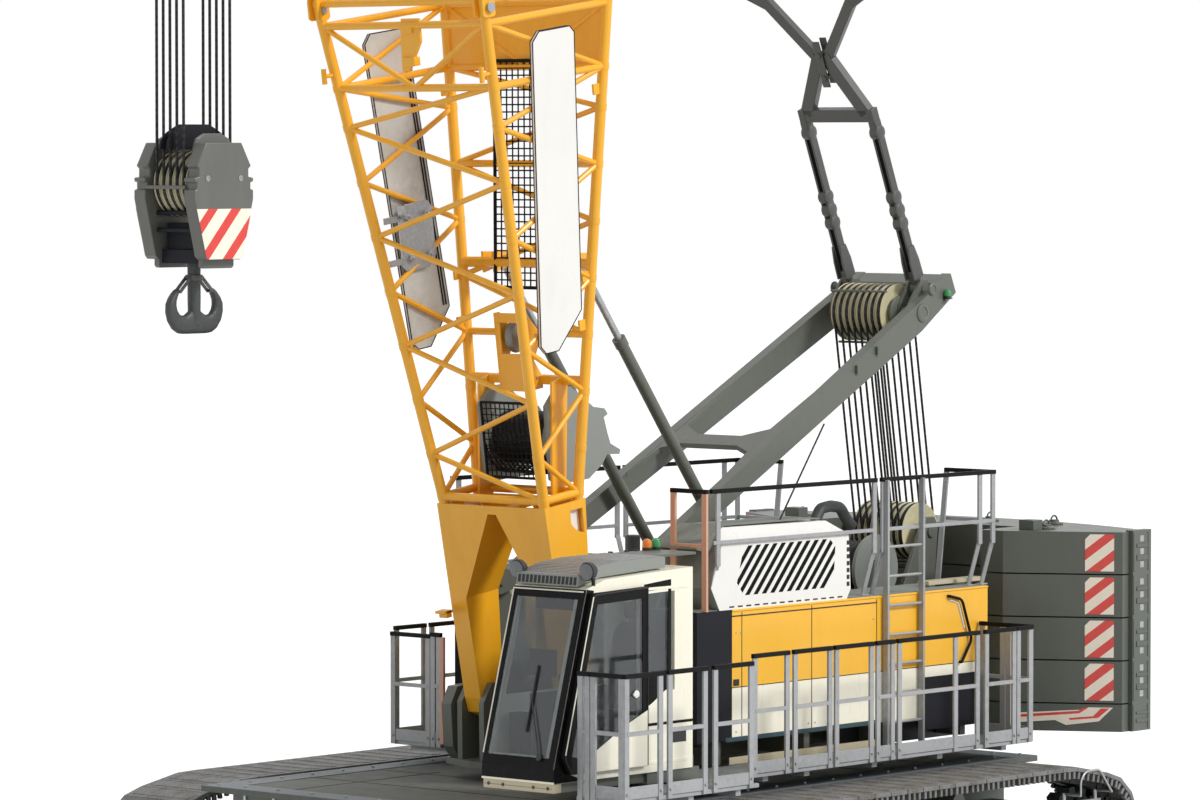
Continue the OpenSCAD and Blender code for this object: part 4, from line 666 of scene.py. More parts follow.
# Small fittings on the foot section
def buildBoomFittings():
    bm = bmesh.new()
    bracket = [(6.51, -0.02), (6.51, 0.2), (6.3, 0.2), (6.03, 0.03), (6.03, -0.06), (6.3, -0.04)]
    addPlate(bm, [(s, y, -0.84) for s, y in bracket], (0, 0, 0.03))
    for s in (6.12, 6.42):
        addBox(bm, (s - 0.04, -0.02, -0.86), (s + 0.04, 0.12, -0.78))
    for s in (3.53, 3.97, 5.67):  # lugs on the near rear chord
        for side in (-1, 1):
            p = chordPoint(s, side, 1)
            addBox(bm, (s - 0.05, p.y - 0.012, p.z - 0.13), (s + 0.05, p.y + 0.012, p.z))
    addBox(bm, (0.86, -0.7, -0.37), (0.93, -0.6, -0.3))  # tee lug at the far leg
    addBox(bm, (0.9, -0.73, -0.39), (0.925, -0.6, -0.28))
    finishPiece("boom_brackets", bm, boomEnamel, "boom", 0.004, ontoBoom)

    bm = bmesh.new()  # pale cover plates behind the openings of the foot plates
    for side in (1, -1):
        sidePlate(bm, [(1.52, 0.02), (1.9, 0.02), (1.9, 0.23), (1.52, 0.23)], side * 0.6, side * 0.612)
    finishPiece("foot_cover_plates", bm, whiteEnamel, "boom", 0.002, ontoBoom)

    bm = bmesh.new()  # pin plate kept inside the far side
    outline = [(4.1, -0.26), (4.16, -0.31), (4.62, -0.31), (4.72, -0.2), (4.72, 0.1), (4.66, 0.15),
               (4.2, 0.15), (4.1, 0.05)]
    sidePlate(bm, outline, -0.8, -0.785)
    addBox(bm, (4.6, -0.8, -0.3), (4.72, -0.7, -0.285))
    for s, t in ((4.22, -0.2), (4.22, 0.05), (4.6, -0.2), (4.6, 0.05)):
        addRod(bm, (s, -0.79, t), (s, -0.745, t), 0.035, 16)
        addRod(bm, (s, -0.75, t), (s, -0.73, t), 0.016, 10)
    for s in (4.2, 4.6):
        p = chordPoint(s, -1, -1)
        addBox(bm, (s - 0.03, -0.8, -0.5), (s + 0.03, -0.785, -0.3))
    finishPiece("boom_pin_plate", bm, zincSteel, "boom", 0.003, ontoBoom)

    bm = bmesh.new()  # deflector sheave with its housing
    centre = Vector((3.42, 0.0, 0.335))
    profile = [(0.05, -0.04), (0.13, -0.022), (0.16, -0.045), (0.142, 0.0), (0.16, 0.045), (0.13, 0.022),
               (0.05, 0.04)]
    addTurned(bm, profile, centre, (0, 1, 0), 40, closed=True)
    finishPiece("deflector_sheave", bm, winchEnamel, "boom", 0, ontoBoom)
    bm = bmesh.new()
    plate = [(2.93, 0.15), (3.66, 0.15), (3.66, 0.22), (3.56, 0.3), (3.46, 0.38), (3.36, 0.38), (3.2, 0.28),
             (3.05, 0.37), (2.93, 0.37)]
    for y in (-0.14, 0.18):
        sidePlate(bm, plate, y, y + 0.02)
    addBox(bm, (2.93, -0.12, 0.15), (3.28, 0.18, 0.165))  # front plate below its window
    addBox(bm, (3.57, -0.12, 0.15), (3.66, 0.18, 0.165))
    addBox(bm, (3.28, -0.12, 0.15), (3.57, -0.075, 0.165))
    addBox(bm, (2.97, -0.44, 0.33), (3.05, 0.44, 0.37))
    finishPiece("deflector_housing", bm, boomEnamel, "boom", 0.003, ontoBoom)
    bm = bmesh.new()
    for s, t in ((3.04, 0.3), (3.6, 0.22)):
        addRod(bm, (s, -0.15, t), (s, 0.21, t), 0.016, 10)
    addRod(bm, centre - Vector((0, 0.15, 0)), centre + Vector((0, 0.21, 0)), 0.03, 16)
    finishPiece("deflector_pins", bm, zincSteel, "boom", 0.002, ontoBoom)


def buildMesh(name, low, high, face, pitch, wire):  # welded wire mesh between two stations of the boom
    bm = bmesh.new()
    (s0, y0), (s1, y1) = low, high
    n, m = int((s1 - s0) / pitch), int((y1 - y0) / pitch)
    for i in range(n + 1):
        s = s0 + (s1 - s0) * i / n
        addRod(bm, (s, y0, face(s)), (s, y1, face(s)), wire, 5)
    for j in range(m + 1):
        y = y0 + (y1 - y0) * j / m
        addRod(bm, (s0, y, face(s0) + wire), (s1, y, face(s1) + wire), wire, 5)
    for y in (y0, y1):
        addRod(bm, (s0, y, face(s0)), (s1, y, face(s1)), wire * 2.2, 8)
    for s in (s0, s1):
        addRod(bm, (s, y0, face(s)), (s, y1, face(s)), wire * 2.2, 8)
    finishPiece(name, bm, blackEnamel, "boom", 0, ontoBoom)


def buildWinchGuard():
    guard = {"s": 2.45, "t": 0.43, "radius": 0.335, "half": 0.33, "pitch": 0.06, "wire": 0.007}
    bm = bmesh.new()
    arc = [math.radians(a) for a in range(100, 271, 8)]
    r, reach = guard["radius"], guard["half"] + 0.04
    hoop = [(guard["s"] + r * math.cos(a), guard["t"] + r * math.sin(a)) for a in arc]
    for i in range(int(2 * guard["half"] / guard["pitch"]) + 1):
        y = -guard["half"] + i * guard["pitch"]
        addSweep(bm, [(s, y, t) for s, t in hoop], guard["wire"], 5)
    for s, t in hoop[::2]:
        addRod(bm, (s, -reach, t), (s, reach, t), guard["wire"], 5)
    finishPiece("winch_guard", bm, blackEnamel, "boom", 0, ontoBoom)


def buildWinding(name, centre, axis, radius, half, ropeRadius, body, into=None):
    # one layer of rope on the drum, as touching turns
    turns = int(2 * half / (2 * ropeRadius))
    profile = []
    for i in range(turns):
        for k in range(6):
            a = math.pi * k / 6
            profile.append((radius + 0.004 + ropeRadius * math.sin(a),
                            -half + (i + 0.5) * 2 * ropeRadius - ropeRadius * math.cos(a)))
    bm = bmesh.new()
    addTurned(bm, [(radius - 0.01, -half)] + profile + [(radius - 0.01, half)], centre, axis, 48)
    finishPiece(name, bm, rope, body, 0, into)


buildJoints()
buildWelds()
buildBoomFittings()
buildMesh("boom_rope_mesh", (3.85, -0.36), (5.93, 0.36), lambda s: halfDepth(s) - 0.03, 0.066, 0.0075)
buildMesh("winch_front_mesh", (2.13, -0.34), (2.83, 0.34), lambda s: 0.085, 0.055, 0.006)
buildWinchGuard()
buildWinding("boom_winch_rope", (2.45, 0, 0.43), (0, 1, 0), 0.23, 0.335, 0.011, "boom", ontoBoom)


# Blank sign boards: dark trim round the edges, and two stiffening ribs
boards = {"start": 3.38, "length": 2.95, "half": 0.285, "off": 0.0344, "thick": 0.03}


def buildBoardTrim(side, word):
    start, end = boom["plateLength"], boom["footLength"]
    flare = (halfWidth(end) - halfWidth(start)) / (end - start)
    turn = Matrix.Rotation(math.atan(flare), 4, "Z")
    turn.translation = (0, halfWidth(start) - flare * start, 0)
    flip = Matrix.Diagonal((1, side, 1, 1))
    s, n, h = boards["start"], boards["length"], boards["half"]
    outline = [(s, -h + 0.07), (s + 0.07, -h), (s + n - 0.09, -h), (s + n, -h + 0.09), (s + n, h - 0.06),
               (s + n - 0.06, h), (s + 0.33, h), (s, h - 0.33)]
    bm = bmesh.new()
    for a, b in zip(outline, outline[1:] + outline[:1]):
        for y in (boards["off"], boards["off"] + boards["thick"]):
            addRod(bm, (a[0], y, a[1]), (b[0], y, b[1]), 0.006, 6)
    for k in (0.2, 0.235):  # two stiffening ribs on the back
        addBox(bm, (s + 0.35, boards["off"] - 0.012, k), (s + n - 0.12, boards["off"], k + 0.012))
    finishPiece(f"board_trim_{word}", bm, charcoalEnamel, "boom", 0.002, ontoBoom @ flip @ turn)


bothSides(buildBoardTrim)
print("boom dressed")


# Ropes between moving parts, drawn as straight falls

falls = {"count": 5, "pitch": 0.082, "off": 0.2835, "radius": 0.013, "x": 5.7831, "low": 6.802,
         "high": 26.551}


def buildFalls():
    bm = bmesh.new()  # a fall has points at its two ends only, so that it stays straight
    for i in range(falls["count"]):
        for k in (-1, 1):
            x = falls["x"] + k * falls["off"]
            y = (i - (falls["count"] - 1) / 2) * falls["pitch"]
            addSweep(bm, [(x, y, falls["low"]), (x, y, falls["high"])], falls["radius"])
    obj = finishPiece("hoist_falls", bm, rope, None)
    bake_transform(obj)
    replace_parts(obj, "hoist_ropes")


luffing = {"low": (-4.06, 0, 3.28), "head": (-3.7043, 0, 5.4667), "count": 8, "pitch": 0.08, "off": 0.275,
           "radius": 0.012, "sheave": 0.287}


def buildLuffingFalls():
    low, head = Vector(luffing["low"]), Vector(luffing["head"])
    run = head - low
    normal = Vector((run.z, 0, -run.x)).normalized()
    bm = bmesh.new()
    for i in range(luffing["count"]):
        for k in (-1, 1):
            y = (i - (luffing["count"] - 1) / 2) * luffing["pitch"]
            shift = Vector((0, y, 0)) + normal * k * luffing["off"]
            addSweep(bm, [low + run * 0.01 + shift, low + run * 0.99 + shift], luffing["radius"])
    obj = finishPiece("luffing_falls", bm, rope, None)
    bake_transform(obj)
    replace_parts(obj, "luffing_ropes")


buildFalls()
buildLuffingFalls()


def buildLuffingSheaves():
    low, head = luffing["low"], luffing["head"]
    size = (luffing["sheave"], luffing["count"], luffing["pitch"])
    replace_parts(sheaveSet("gantry_head_sheaves", head, *size, "gantry"), "gantry_sheaves")
    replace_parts(sheaveSet("lower_luffing_sheaves", low, *size, "upper"), "luffing_sheaves")
    bm = bmesh.new()  # axle, side plates and brackets of the lower set
    addRod(bm, (low[0], -0.47, low[2]), (low[0], 0.47, low[2]), 0.055, 24)
    plate = [(-3.766, 1.78), (-3.477, 2.08), (-3.477, 2.5), (-3.95, 3.39), (-4.0, 3.43), (-4.12, 3.43),
             (-4.18, 3.34), (-4.12, 2.7)]
    for side in (1, -1):
        sidePlate(bm, plate, side * 0.40, side * 0.45)
        addBox(bm, (-3.775, side * 0.40, 1.77), (-3.477, side * 0.779, 2.01))
    addRod(bm, (-4.06, -0.42, 2.92), (-4.06, 0.42, 2.92), 0.02)
    finishPiece("luffing_sheave_bracket", bm, frameEnamel, "upper", 0.005)
    bm = bmesh.new()  # flange rings and guard rods of the head set
    for side in (1, -1):
        ring = [(0.17, 0), (0.17, 0.02), (0.12, 0.035), (0.001, 0.035)]
        addTurned(bm, ring, (head[0], side * 0.325, head[2]), (0, side, 0))
    for a in (42, 120, 200, 290):
        x, z = head[0] + 0.318 * math.cos(math.radians(a)), head[2] + 0.318 * math.sin(math.radians(a))
        addRod(bm, (x, -0.35, z), (x, 0.35, z), 0.012, 10)
    finishPiece("gantry_rope_guards", bm, frameEnamel, "gantry")


buildLuffingSheaves()
for k, x in enumerate((-2.35, -0.15)):
    buildWinding(f"hoist_winch_rope_{k + 1}", (x, 0, 2.56), (0, 1, 0), 0.33, 0.476, 0.013, "upper")
buildWinding("luffing_winch_rope", (-3.18, 0, 2.96), (0, 1, 0), 0.25, 0.416, 0.012, "upper")
print("ropes made")


# Operator's cab

cab = {"inner": 1.37, "outer": 2.27, "skin": 2.224, "floor": 1.5805, "glass": 0.006,
       "sweep": [(3.168, 1.626), (3.076, 1.786), (2.844, 1.899), (2.647, 1.994), (2.37, 2.1)]}
screenFoot, screenHead = Vector((3.58, 0, 1.65)), Vector((3.135, 0, 3.22))
screenUp = (screenHead - screenFoot).normalized()
screenOut = Vector((screenUp.z, 0, -screenUp.x))


def buildGlass():
    t, skin, outer = cab["glass"], cab["skin"], cab["outer"]
    slope, out, base = screenUp, screenOut, screenFoot + screenOut * 0.005

    def onScreen(corners):
        return [base + slope * a + Vector((0, y, 0)) for a, y in corners]

    bm = bmesh.new()
    sidePlate(bm, [(2.041, 2.426), (2.329, 2.426), (2.329, 3.152), (2.041, 3.167)], skin - 0.02, skin - 0.014)
    farWindow = [(1.94, 2.24), (3.34, 2.24), (3.14, 3.12), (1.94, 3.15)]
    sidePlate(bm, farWindow, cab["inner"] + 0.012, cab["inner"] + 0.018)
    addPlate(bm, onScreen([(0.02, 1.40), (0.02, 2.215), (1.6, 2.2), (1.6, 1.41)]), out * t)
    addBox(bm, (1.712, 1.48, 2.29), (1.718, 2.07, 3.14))
    roofHatch = [(2.09, 1.51, 3.315), (2.79, 1.51, 3.28), (2.79, 2.04, 3.28), (2.09, 2.04, 3.315)]
    addPlate(bm, roofHatch, (0, 0, t))
    finishPiece("cab_glass", bm, cabGlass, "upper")
    bm = bmesh.new()
    sidePlate(bm, [(2.43, 2.075), (2.9, 1.842), (3.115, 1.692), (3.4, 1.755), (3.055, 3.09), (2.43, 3.11)],
              outer - 0.012, outer - 0.006)
    finishPiece("door_glass", bm, cabGlass, "cab_door")
    bm = bmesh.new()  # black edge of the windscreen and its middle bar
    for a0, a1, y0, y1 in ((0.0, 0.1, 1.38, 2.222), (1.53, 1.62, 1.38, 2.222), (0.1, 1.53, 1.38, 1.43),
                           (0.1, 1.53, 2.15, 2.222)):
        corners = onScreen([(a0, y0), (a0, y1), (a1, y1), (a1, y0)])
        addPlate(bm, [c + out * 0.0062 for c in corners], out * 0.003)
    addBox(bm, (3.58, 1.375, 1.545), (3.584, 2.222, 1.655))
    pillar = [(3.16, 1.532), (3.582, 1.532), (3.582, 1.66), (3.14, 3.215), (3.05, 3.2), (3.44, 1.75),
              (3.38, 1.6)]
    sidePlate(bm, pillar, skin, skin + 0.003)
    for border in ([(2.0, 2.298), (2.26, 2.149), (2.37, 2.1), (2.37, 2.426), (2.0, 2.426)],
                   [(2.0, 2.426), (2.041, 2.426), (2.041, 3.167), (2.0, 3.245)],
                   [(2.329, 2.426), (2.37, 2.426), (2.37, 3.215), (2.329, 3.152)],
                   [(2.041, 3.167), (2.329, 3.152), (2.37, 3.215), (2.0, 3.245)]):
        sidePlate(bm, border, skin - 0.001, skin + 0.002)
    finishPiece("window_borders", bm, frit, "upper", 0.001)
    bm = bmesh.new()  # pale bead round the windscreen
    for a0, y0, a1, y1 in ((0.105, 1.375, 1.6, 1.375), (1.6, 1.375, 1.6, 2.2)):
        p, q = onScreen([(a0, y0), (a1, y1)])
        addRod(bm, p + out * 0.008, q + out * 0.008, 0.007, 8)
    addBox(bm, (3.575, 1.372, 1.527), (3.586, 2.226, 1.546))
    finishPiece("windscreen_bead", bm, creamEnamel, "upper")


def buildSkins():
    bm = bmesh.new()
    sidePlate(bm, [(2.371, 1.602), (3.15, 1.602), *cab["sweep"]], cab["outer"] - 0.001, cab["outer"] + 0.003)
    finishPiece("door_cream_skin", bm, creamEnamel, "cab_door", 0.001)
    bm = bmesh.new()
    y = cab["outer"] + 0.002
    front = [(2.375, y, 3.19), (3.1, y, 3.165), (3.485, y, 1.75), (3.395, y, 1.61)]
    addSweep(bm, rounded(front, 0.05), 0.008, 6)
    addSweep(bm, [(2.372, y, 1.605), (2.372, y, 3.19)], 0.006, 6)
    finishPiece("door_seals", bm, sealRubberAndSlotShade, "cab_door")
    bm = bmesh.new()
    addRod(bm, (3.108, cab["outer"] + 0.004, 3.15), (3.48, cab["outer"] + 0.004, 1.78), 0.006, 8)
    finishPiece("door_front_bead", bm, creamEnamel, "cab_door")


def buildCabTrim():
    bm = bmesh.new()
    # the door handle, a real part; its white is a painted highlight
    addRod(bm, (2.533, 2.272, 2.252), (2.533, 2.282, 2.252), 0.035, 20)
    addBox(bm, (2.5, 2.27, 2.235), (2.58, 2.285, 2.262))
    finishPiece("door_handle_painted_highlight", bm, whiteEnamel, "cab_door", 0.003)
    bm = bmesh.new()  # the door's slide rail, and a hand rail at the roof's front corner
    addBox(bm, (1.7, 2.222, 1.945), (2.36, 2.2285, 1.97))
    addSweep(bm, rounded([(3.06, 2.225, 3.26), (3.12, 2.27, 3.3), (3.1, 2.213, 3.36)], 0.02), 0.012)
    finishPiece("cab_hand_rails", bm, blackEnamel, "upper", 0.002)
    bm = bmesh.new()
    addBox(bm, (1.793, 2.222, 1.773), (2.028, 2.228, 1.889))
    addBox(bm, (1.69, 1.42, 2.2), (1.7, 2.2, 2.24))
    finishPiece("cab_side_plate", bm, blackPlastic, "upper", 0.002)
    bm = bmesh.new()  # wiper: arm, blade and motor cap at the lower corner of the windscreen
    slope, out, base = screenUp, screenOut, screenFoot + screenOut * 0.02
    low, high = base + slope * 0.1 + Vector((0, 2.05, 0)), base + slope * 0.62 + Vector((0, 1.84, 0))
    addRod(bm, low - out * 0.01, low + out * 0.02, 0.03, 16)
    addRod(bm, low + out * 0.014, high + out * 0.012, 0.008, 8, 0.005)
    addBeam(bm, high - slope * 0.3 + out * 0.004, high + slope * 0.3 + out * 0.004, out, 0.02, 0.012)
    finishPiece("cab_wiper", bm, blackPlastic, "upper", 0.002)
    bm = bmesh.new()  # sill box with its bolts, in beige: the cab cream painted in its shaded tone
    addBox(bm, (3.47, 1.385, 1.446), (3.578, 2.215, 1.527))
    finishPiece("cab_sill", bm, beigeAndShadedCreamEnamel, "upper", 0.005)
    bm = bmesh.new()
    for y in (1.45, 1.62, 1.98, 2.15):
        addBolt(bm, (3.578, y, 1.487), (1, 0, 0), 0.026, 0.4)
    addBox(bm, (3.578, 1.4, 1.483), (3.58, 2.2, 1.486))
    finishPiece("cab_sill_bolts", bm, wheelSteel, "upper")


def buildRoofGuard():
    guard = {"inner": 1.41, "outer": 2.14, "slat": 0.02, "pitch": 0.036}
    cover = [(1.98, 3.345), (2.86, 3.302), (3.17, 3.235), (3.155, 3.33), (2.9, 3.4), (2.6, 3.43),
             (1.98, 3.438)]
    bm = bmesh.new()
    sidePlate(bm, cover, guard["inner"], guard["outer"])
    finishPiece("cab_roof_guard", bm, winchEnamel, "upper", 0.004)
    bm = bmesh.new()  # fine slats over the cover and down its front
    y0, y1 = guard["inner"] + 0.02, guard["outer"] - 0.02
    for a, b in (((1.99, 3.438), (2.6, 3.43)), ((2.61, 3.429), (2.895, 3.401)),
                 ((2.905, 3.399), (3.15, 3.331))):
        a, b = Vector((a[0], 0, a[1])), Vector((b[0], 0, b[1]))
        run = (b - a).normalized()
        n = int((b - a).length / guard["pitch"])
        for i in range(n):
            p = a + (b - a) * (i + 0.5) / n
            addBeam(bm, p + Vector((0, y0, 0)), p + Vector((0, y1, 0)), run, guard["slat"], 0.012)
    obj = finishPiece("cab_roof_slats", bm, zincSteel, "upper", 0.001)
    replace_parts(obj, "cab_guard")
    # dark strips on the visor front: painted shade inside its slots
    bm = bmesh.new()
    for i in range(15):
        y = 1.43 + i * 0.047
        top, foot, width = (3.157, 3.318), (3.1685, 3.25), 0.03
        corners = [(x, y + step, z) for (x, z), step in ((top, 0), (foot, 0), (foot, width), (top, width))]
        addPlate(bm, corners, (0.003, 0, 0.0006))
    finishPiece("cab_visor_slots", bm, sealRubberAndSlotShade, "upper")


def buildLamps():
    shells, lenses = bmesh.new(), bmesh.new()
    bowl = [(0.001, -0.07), (0.045, -0.065), (0.078, -0.02), (0.085, 0.03), (0.08, 0.036), (0.001, 0.03)]
    for x, y, z in ((3.1, 1.384, 3.362), (3.1, 2.213, 3.376)):
        addTurned(shells, bowl, (x, y, z), (1, 0, -0.12), 28)
        addTurned(lenses, [(0.001, 0.036), (0.074, 0.034), (0.074, 0.045), (0.04, 0.052), (0.001, 0.054)],
                  (x, y, z), (1, 0, -0.12), 28)
        addBox(shells, (x - 0.07, y - 0.012, 3.24), (x - 0.045, y + 0.012, z))
    finishPiece("cab_lamp_shells", shells, blackPlastic, "upper")
    finishPiece("cab_lamp_lenses", lenses, lampLens, "upper")
    bm = bmesh.new()  # flat plate behind the roof cover, which carries the beacons
    addBox(bm, (1.27, 1.42, 3.41), (1.975, 1.9, 3.436))
    for y in (1.44, 1.85):
        addBox(bm, (1.72, y, 3.335), (1.76, y + 0.03, 3.41))
        addBox(bm, (1.93, y, 3.335), (1.97, y + 0.03, 3.41))
    finishPiece("cab_roof_plate", bm, frameEnamel, "upper", 0.003)
    bm = bmesh.new()
    for x in (1.305, 1.431):
        addRod(bm, (x, 1.45, 3.436), (x, 1.45, 3.462), 0.046, 20)
    for x in (1.55, 1.68, 1.9):
        addBox(bm, (x, 1.412, 3.4), (x + 0.03, 1.45, 3.45))
    finishPiece("beacon_bracket", bm, blackPlastic, "upper", 0.002)
    for x, material, word in ((1.431, amberLens, "amber"), (1.305, greenLens, "green")):
        bm = bmesh.new()
        cap = [(0.042, 0.0), (0.044, 0.012), (0.043, 0.045), (0.034, 0.068), (0.015, 0.079), (0.001, 0.08)]
        addTurned(bm, cap, (x, 1.45, 3.462), (0, 0, 1), 28)
        finishPiece(f"beacon_{word}", bm, material, "upper")


def cushion(name, low, high, body, channels=0, axis=0):
    # a crowned pad: its faces swell and its edges draw in, with sewn channels across
    low, high = Vector(low), Vector(high)
    size, centre = high - low, (low + high) / 2
    bm = bmesh.new()
    bmesh.ops.create_cube(bm, size=1.0)
    bmesh.ops.subdivide_edges(bm, edges=bm.edges, cuts=11, use_grid_fill=True)
    for v in bm.verts:
        p = v.co * 2
        edge = max(0.0, (abs(p.x) * abs(p.y)), (abs(p.y) * abs(p.z)), (abs(p.x) * abs(p.z)))
        pull = 1 - 0.16 * edge ** 3
        q = Vector((p.x * pull, p.y * pull, p.z * pull))
        if channels:
            along = p[axis]
            groove = max(0.0, math.cos((along + 1) * math.pi * channels)) ** 6
            q.z *= 1 - 0.08 * groove if axis == 0 else 1.0
            q.x *= 1 - 0.08 * groove if axis == 2 else 1.0
        v.co = Vector((q.x * size.x / 2, q.y * size.y / 2, q.z * size.z / 2)) + centre
    obj = finishPiece(name, bm, seatCloth, body, 0, None, 80)
    return obj


def buildInterior():
    floorZ = cab["floor"]
    seat = cushion("seat_cushion", (2.08, 1.56, 1.93), (2.6, 2.0, 2.06), "upper", 4, 0)
    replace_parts(seat, "cab_seat")
    back = cushion("seat_back", (-0.065, 1.56, -0.4), (0.065, 2.0, 0.4), None, 5, 2)
    back.data.transform(Matrix.Translation((2.05, 0, 2.44)) @ Matrix.Rotation(math.radians(-9), 4, "Y"))
    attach(back, "upper")
    cushion("seat_head_rest", (1.93, 1.66, 2.86), (2.02, 1.9, 3.02), "upper")
    bm = bmesh.new()
    addBox(bm, (2.15, 1.6, floorZ), (2.48, 1.96, 1.9))
    addRod(bm, (1.99, 1.72, 2.8), (1.985, 1.72, 2.9), 0.008, 8)
    addRod(bm, (1.99, 1.84, 2.8), (1.985, 1.84, 2.9), 0.008, 8)
    for y in (1.44, 2.05):
        addBox(bm, (2.14, y, floorZ), (2.7, y + 0.085, 2.12))
        addBox(bm, (2.2, y - 0.005, 2.12), (2.62, y + 0.09, 2.17))
        addRod(bm, (2.6, y + 0.04, 2.17), (2.64, y + 0.04, 2.32), 0.014, 10)
        addTurned(bm, [(0.001, 0.0), (0.024, 0.01), (0.03, 0.05), (0.02, 0.09), (0.001, 0.1)],
                  (2.63, y + 0.04, 2.3), (0.25, 0, 1), 16)
    addBox(bm, (1.76, 1.43, floorZ), (2.12, 2.16, 2.0))
    addBox(bm, (3.2, 1.5, floorZ), (3.36, 1.62, 2.1))
    addBox(bm, (2.9, 1.7, floorZ), (3.1, 1.8, 1.66))
    finishPiece("cab_console", bm, blackPlastic, "upper", 0.012)
    bm = bmesh.new()
    addBox(bm, (1.76, 1.423, floorZ), (3.4, 2.17, 1.59))
    finishPiece("cab_floor_mat", bm, hoseRubber, "upper", 0.002)
    bm = bmesh.new()  # dark lining of the rear wall and of the roof
    sidePlate(bm, [(1.752, 1.6), (1.77, 1.6), (1.77, 2.28), (1.752, 2.28)], 1.43, 2.17)
    addBox(bm, (1.76, 1.425, 3.225), (2.09, 2.17, 3.235))
    addBox(bm, (1.76, 1.421, 1.6), (3.0, 1.427, 2.24))
    finishPiece("cab_lining", bm, greyPlastic, "upper", 0.004)
    bm = bmesh.new()  # load display on a post, sun blind
    addBox(bm, (3.12, 1.56, 2.42), (3.16, 1.86, 2.66))
    addRod(bm, (3.18, 1.6, 2.08), (3.15, 1.66, 2.44), 0.014, 10)
    addBox(bm, (2.95, 1.46, 3.0), (2.965, 2.1, 3.14))
    finishPiece("cab_display_shell", bm, blackPlastic, "upper", 0.008)
    bm = bmesh.new()
    addBox(bm, (3.113, 1.58, 2.44), (3.12, 1.84, 2.64))
    finishPiece("cab_display_face", bm, screenFace, "upper", 0.001)


buildGlass()
buildSkins()
buildCabTrim()
buildRoofGuard()
buildLamps()
buildInterior()
print("cab made")


# Side houses and engine housing

house = {"y": 1.606, "front": 0.91, "rear": -3.476, "top": 2.838, "band": 2.115, "low": 1.626,
         "seams": (0.266, -0.76, -1.739), "proud": 0.0025}
roofZ = house["top"] + 0.0005  # just clear of the house roofs


def buildHouseSides(side, word):
    y = house["y"]

    def strip(bm, x0, z0, x1, z1, rise=house["proud"]):
        addBox(bm, (x0, side * y, z0), (x1, side * (y + rise), z1))

    bm = bmesh.new()  # door gaps
    for x in house["seams"]:
        strip(bm, x - 0.005, house["low"], x + 0.005, house["top"] - 0.03, 0.0015)
    strip(bm, house["rear"], house["band"] - 0.004, 0.41, house["band"] + 0.004, 0.0015)
    strip(bm, 0.408, house["low"], 0.42, house["top"], 0.0015)
    strip(bm, -1.74, house["top"] - 0.068, 0.408, house["top"] - 0.056, 0.002)
    finishPiece(f"panel_gaps_{word}", bm, sealRubberAndSlotShade, "upper")
    bm = bmesh.new()  # rolled top edge of the yellow doors
    addRod(bm, (house["rear"], side * (y - 0.002), house["top"] - 0.012),
           (0.41, side * (y - 0.002), house["top"] - 0.012), 0.011, 10)
    finishPiece(f"panel_top_edge_{word}", bm, panelEnamel, "upper")
    bm = bmesh.new()
    strip(bm, -1.75, house["low"] - 0.012, 0.5, house["low"] + 0.03, 0.002)
    finishPiece(f"panel_teal_line_{word}", bm, tealEnamel, "upper", 0.0005)
    bm = bmesh.new()  # lower rear door in charcoal
    strip(bm, -3.284, 1.5, -2.418, 2.01, 0.003)
    finishPiece(f"panel_charcoal_{word}", bm, charcoalEnamel, "upper", 0.001)
    bm = bmesh.new()  # one flush latch, and the dark sill under the house
    strip(bm, 0.31, 2.13, 0.39, 2.19, 0.008)
    addBox(bm, (-3.45, side * 1.2, 1.36), (-1.62, side * 1.25, house["low"]))
    finishPiece(f"panel_latches_{word}", bm, blackPlastic, "upper", 0.004)
    bm = bmesh.new()
    for x, z in ((0.35, 2.62), (0.28, 2.62), (0.35, 1.7), (-0.71, 1.7), (-0.81, 1.7), (-1.69, 1.7),
                 (-1.69, 2.62)):
        addRod(bm, (x, side * y, z), (x, side * (y + 0.004), z), 0.009, 8)
    finishPiece(f"panel_screws_{word}", bm, zincSteel, "upper")
    bm = bmesh.new()  # bent grab rail on two feet
    bend = [(-2.84, 2.772), (-3.03, 2.731), (-3.188, 2.334), (-3.03, 2.122)]
    railY = side * (y + 0.03)
    addSweep(bm, rounded([(x, railY, z) for x, z in bend], 0.05), 0.014, 10)
    for x, z in (bend[0], bend[-1]):
        addRod(bm, (x, side * (y - 0.002), z), (x, railY, z), 0.014, 10)
    finishPiece(f"panel_grab_rail_{word}", bm, blackEnamel, "upper")
    bm = bmesh.new()  # white strip along the grab rail's upper half: a painted highlight of the rail
    addSweep(bm, [(x, side * (y + 0.004), z) for x, z in ((-2.86, 2.735), (-3.0, 2.7), (-3.1, 2.45))], 0.01)
    finishPiece(f"panel_grab_rail_highlight_{word}", bm, whiteEnamel, "upper")
    bm = bmesh.new()
    strip(bm, -1.75, 1.402, 0.45, 1.47, 0.004)
    finishPiece(f"panel_foot_sill_{word}", bm, beigeAndShadedCreamEnamel, "upper", 0.001)


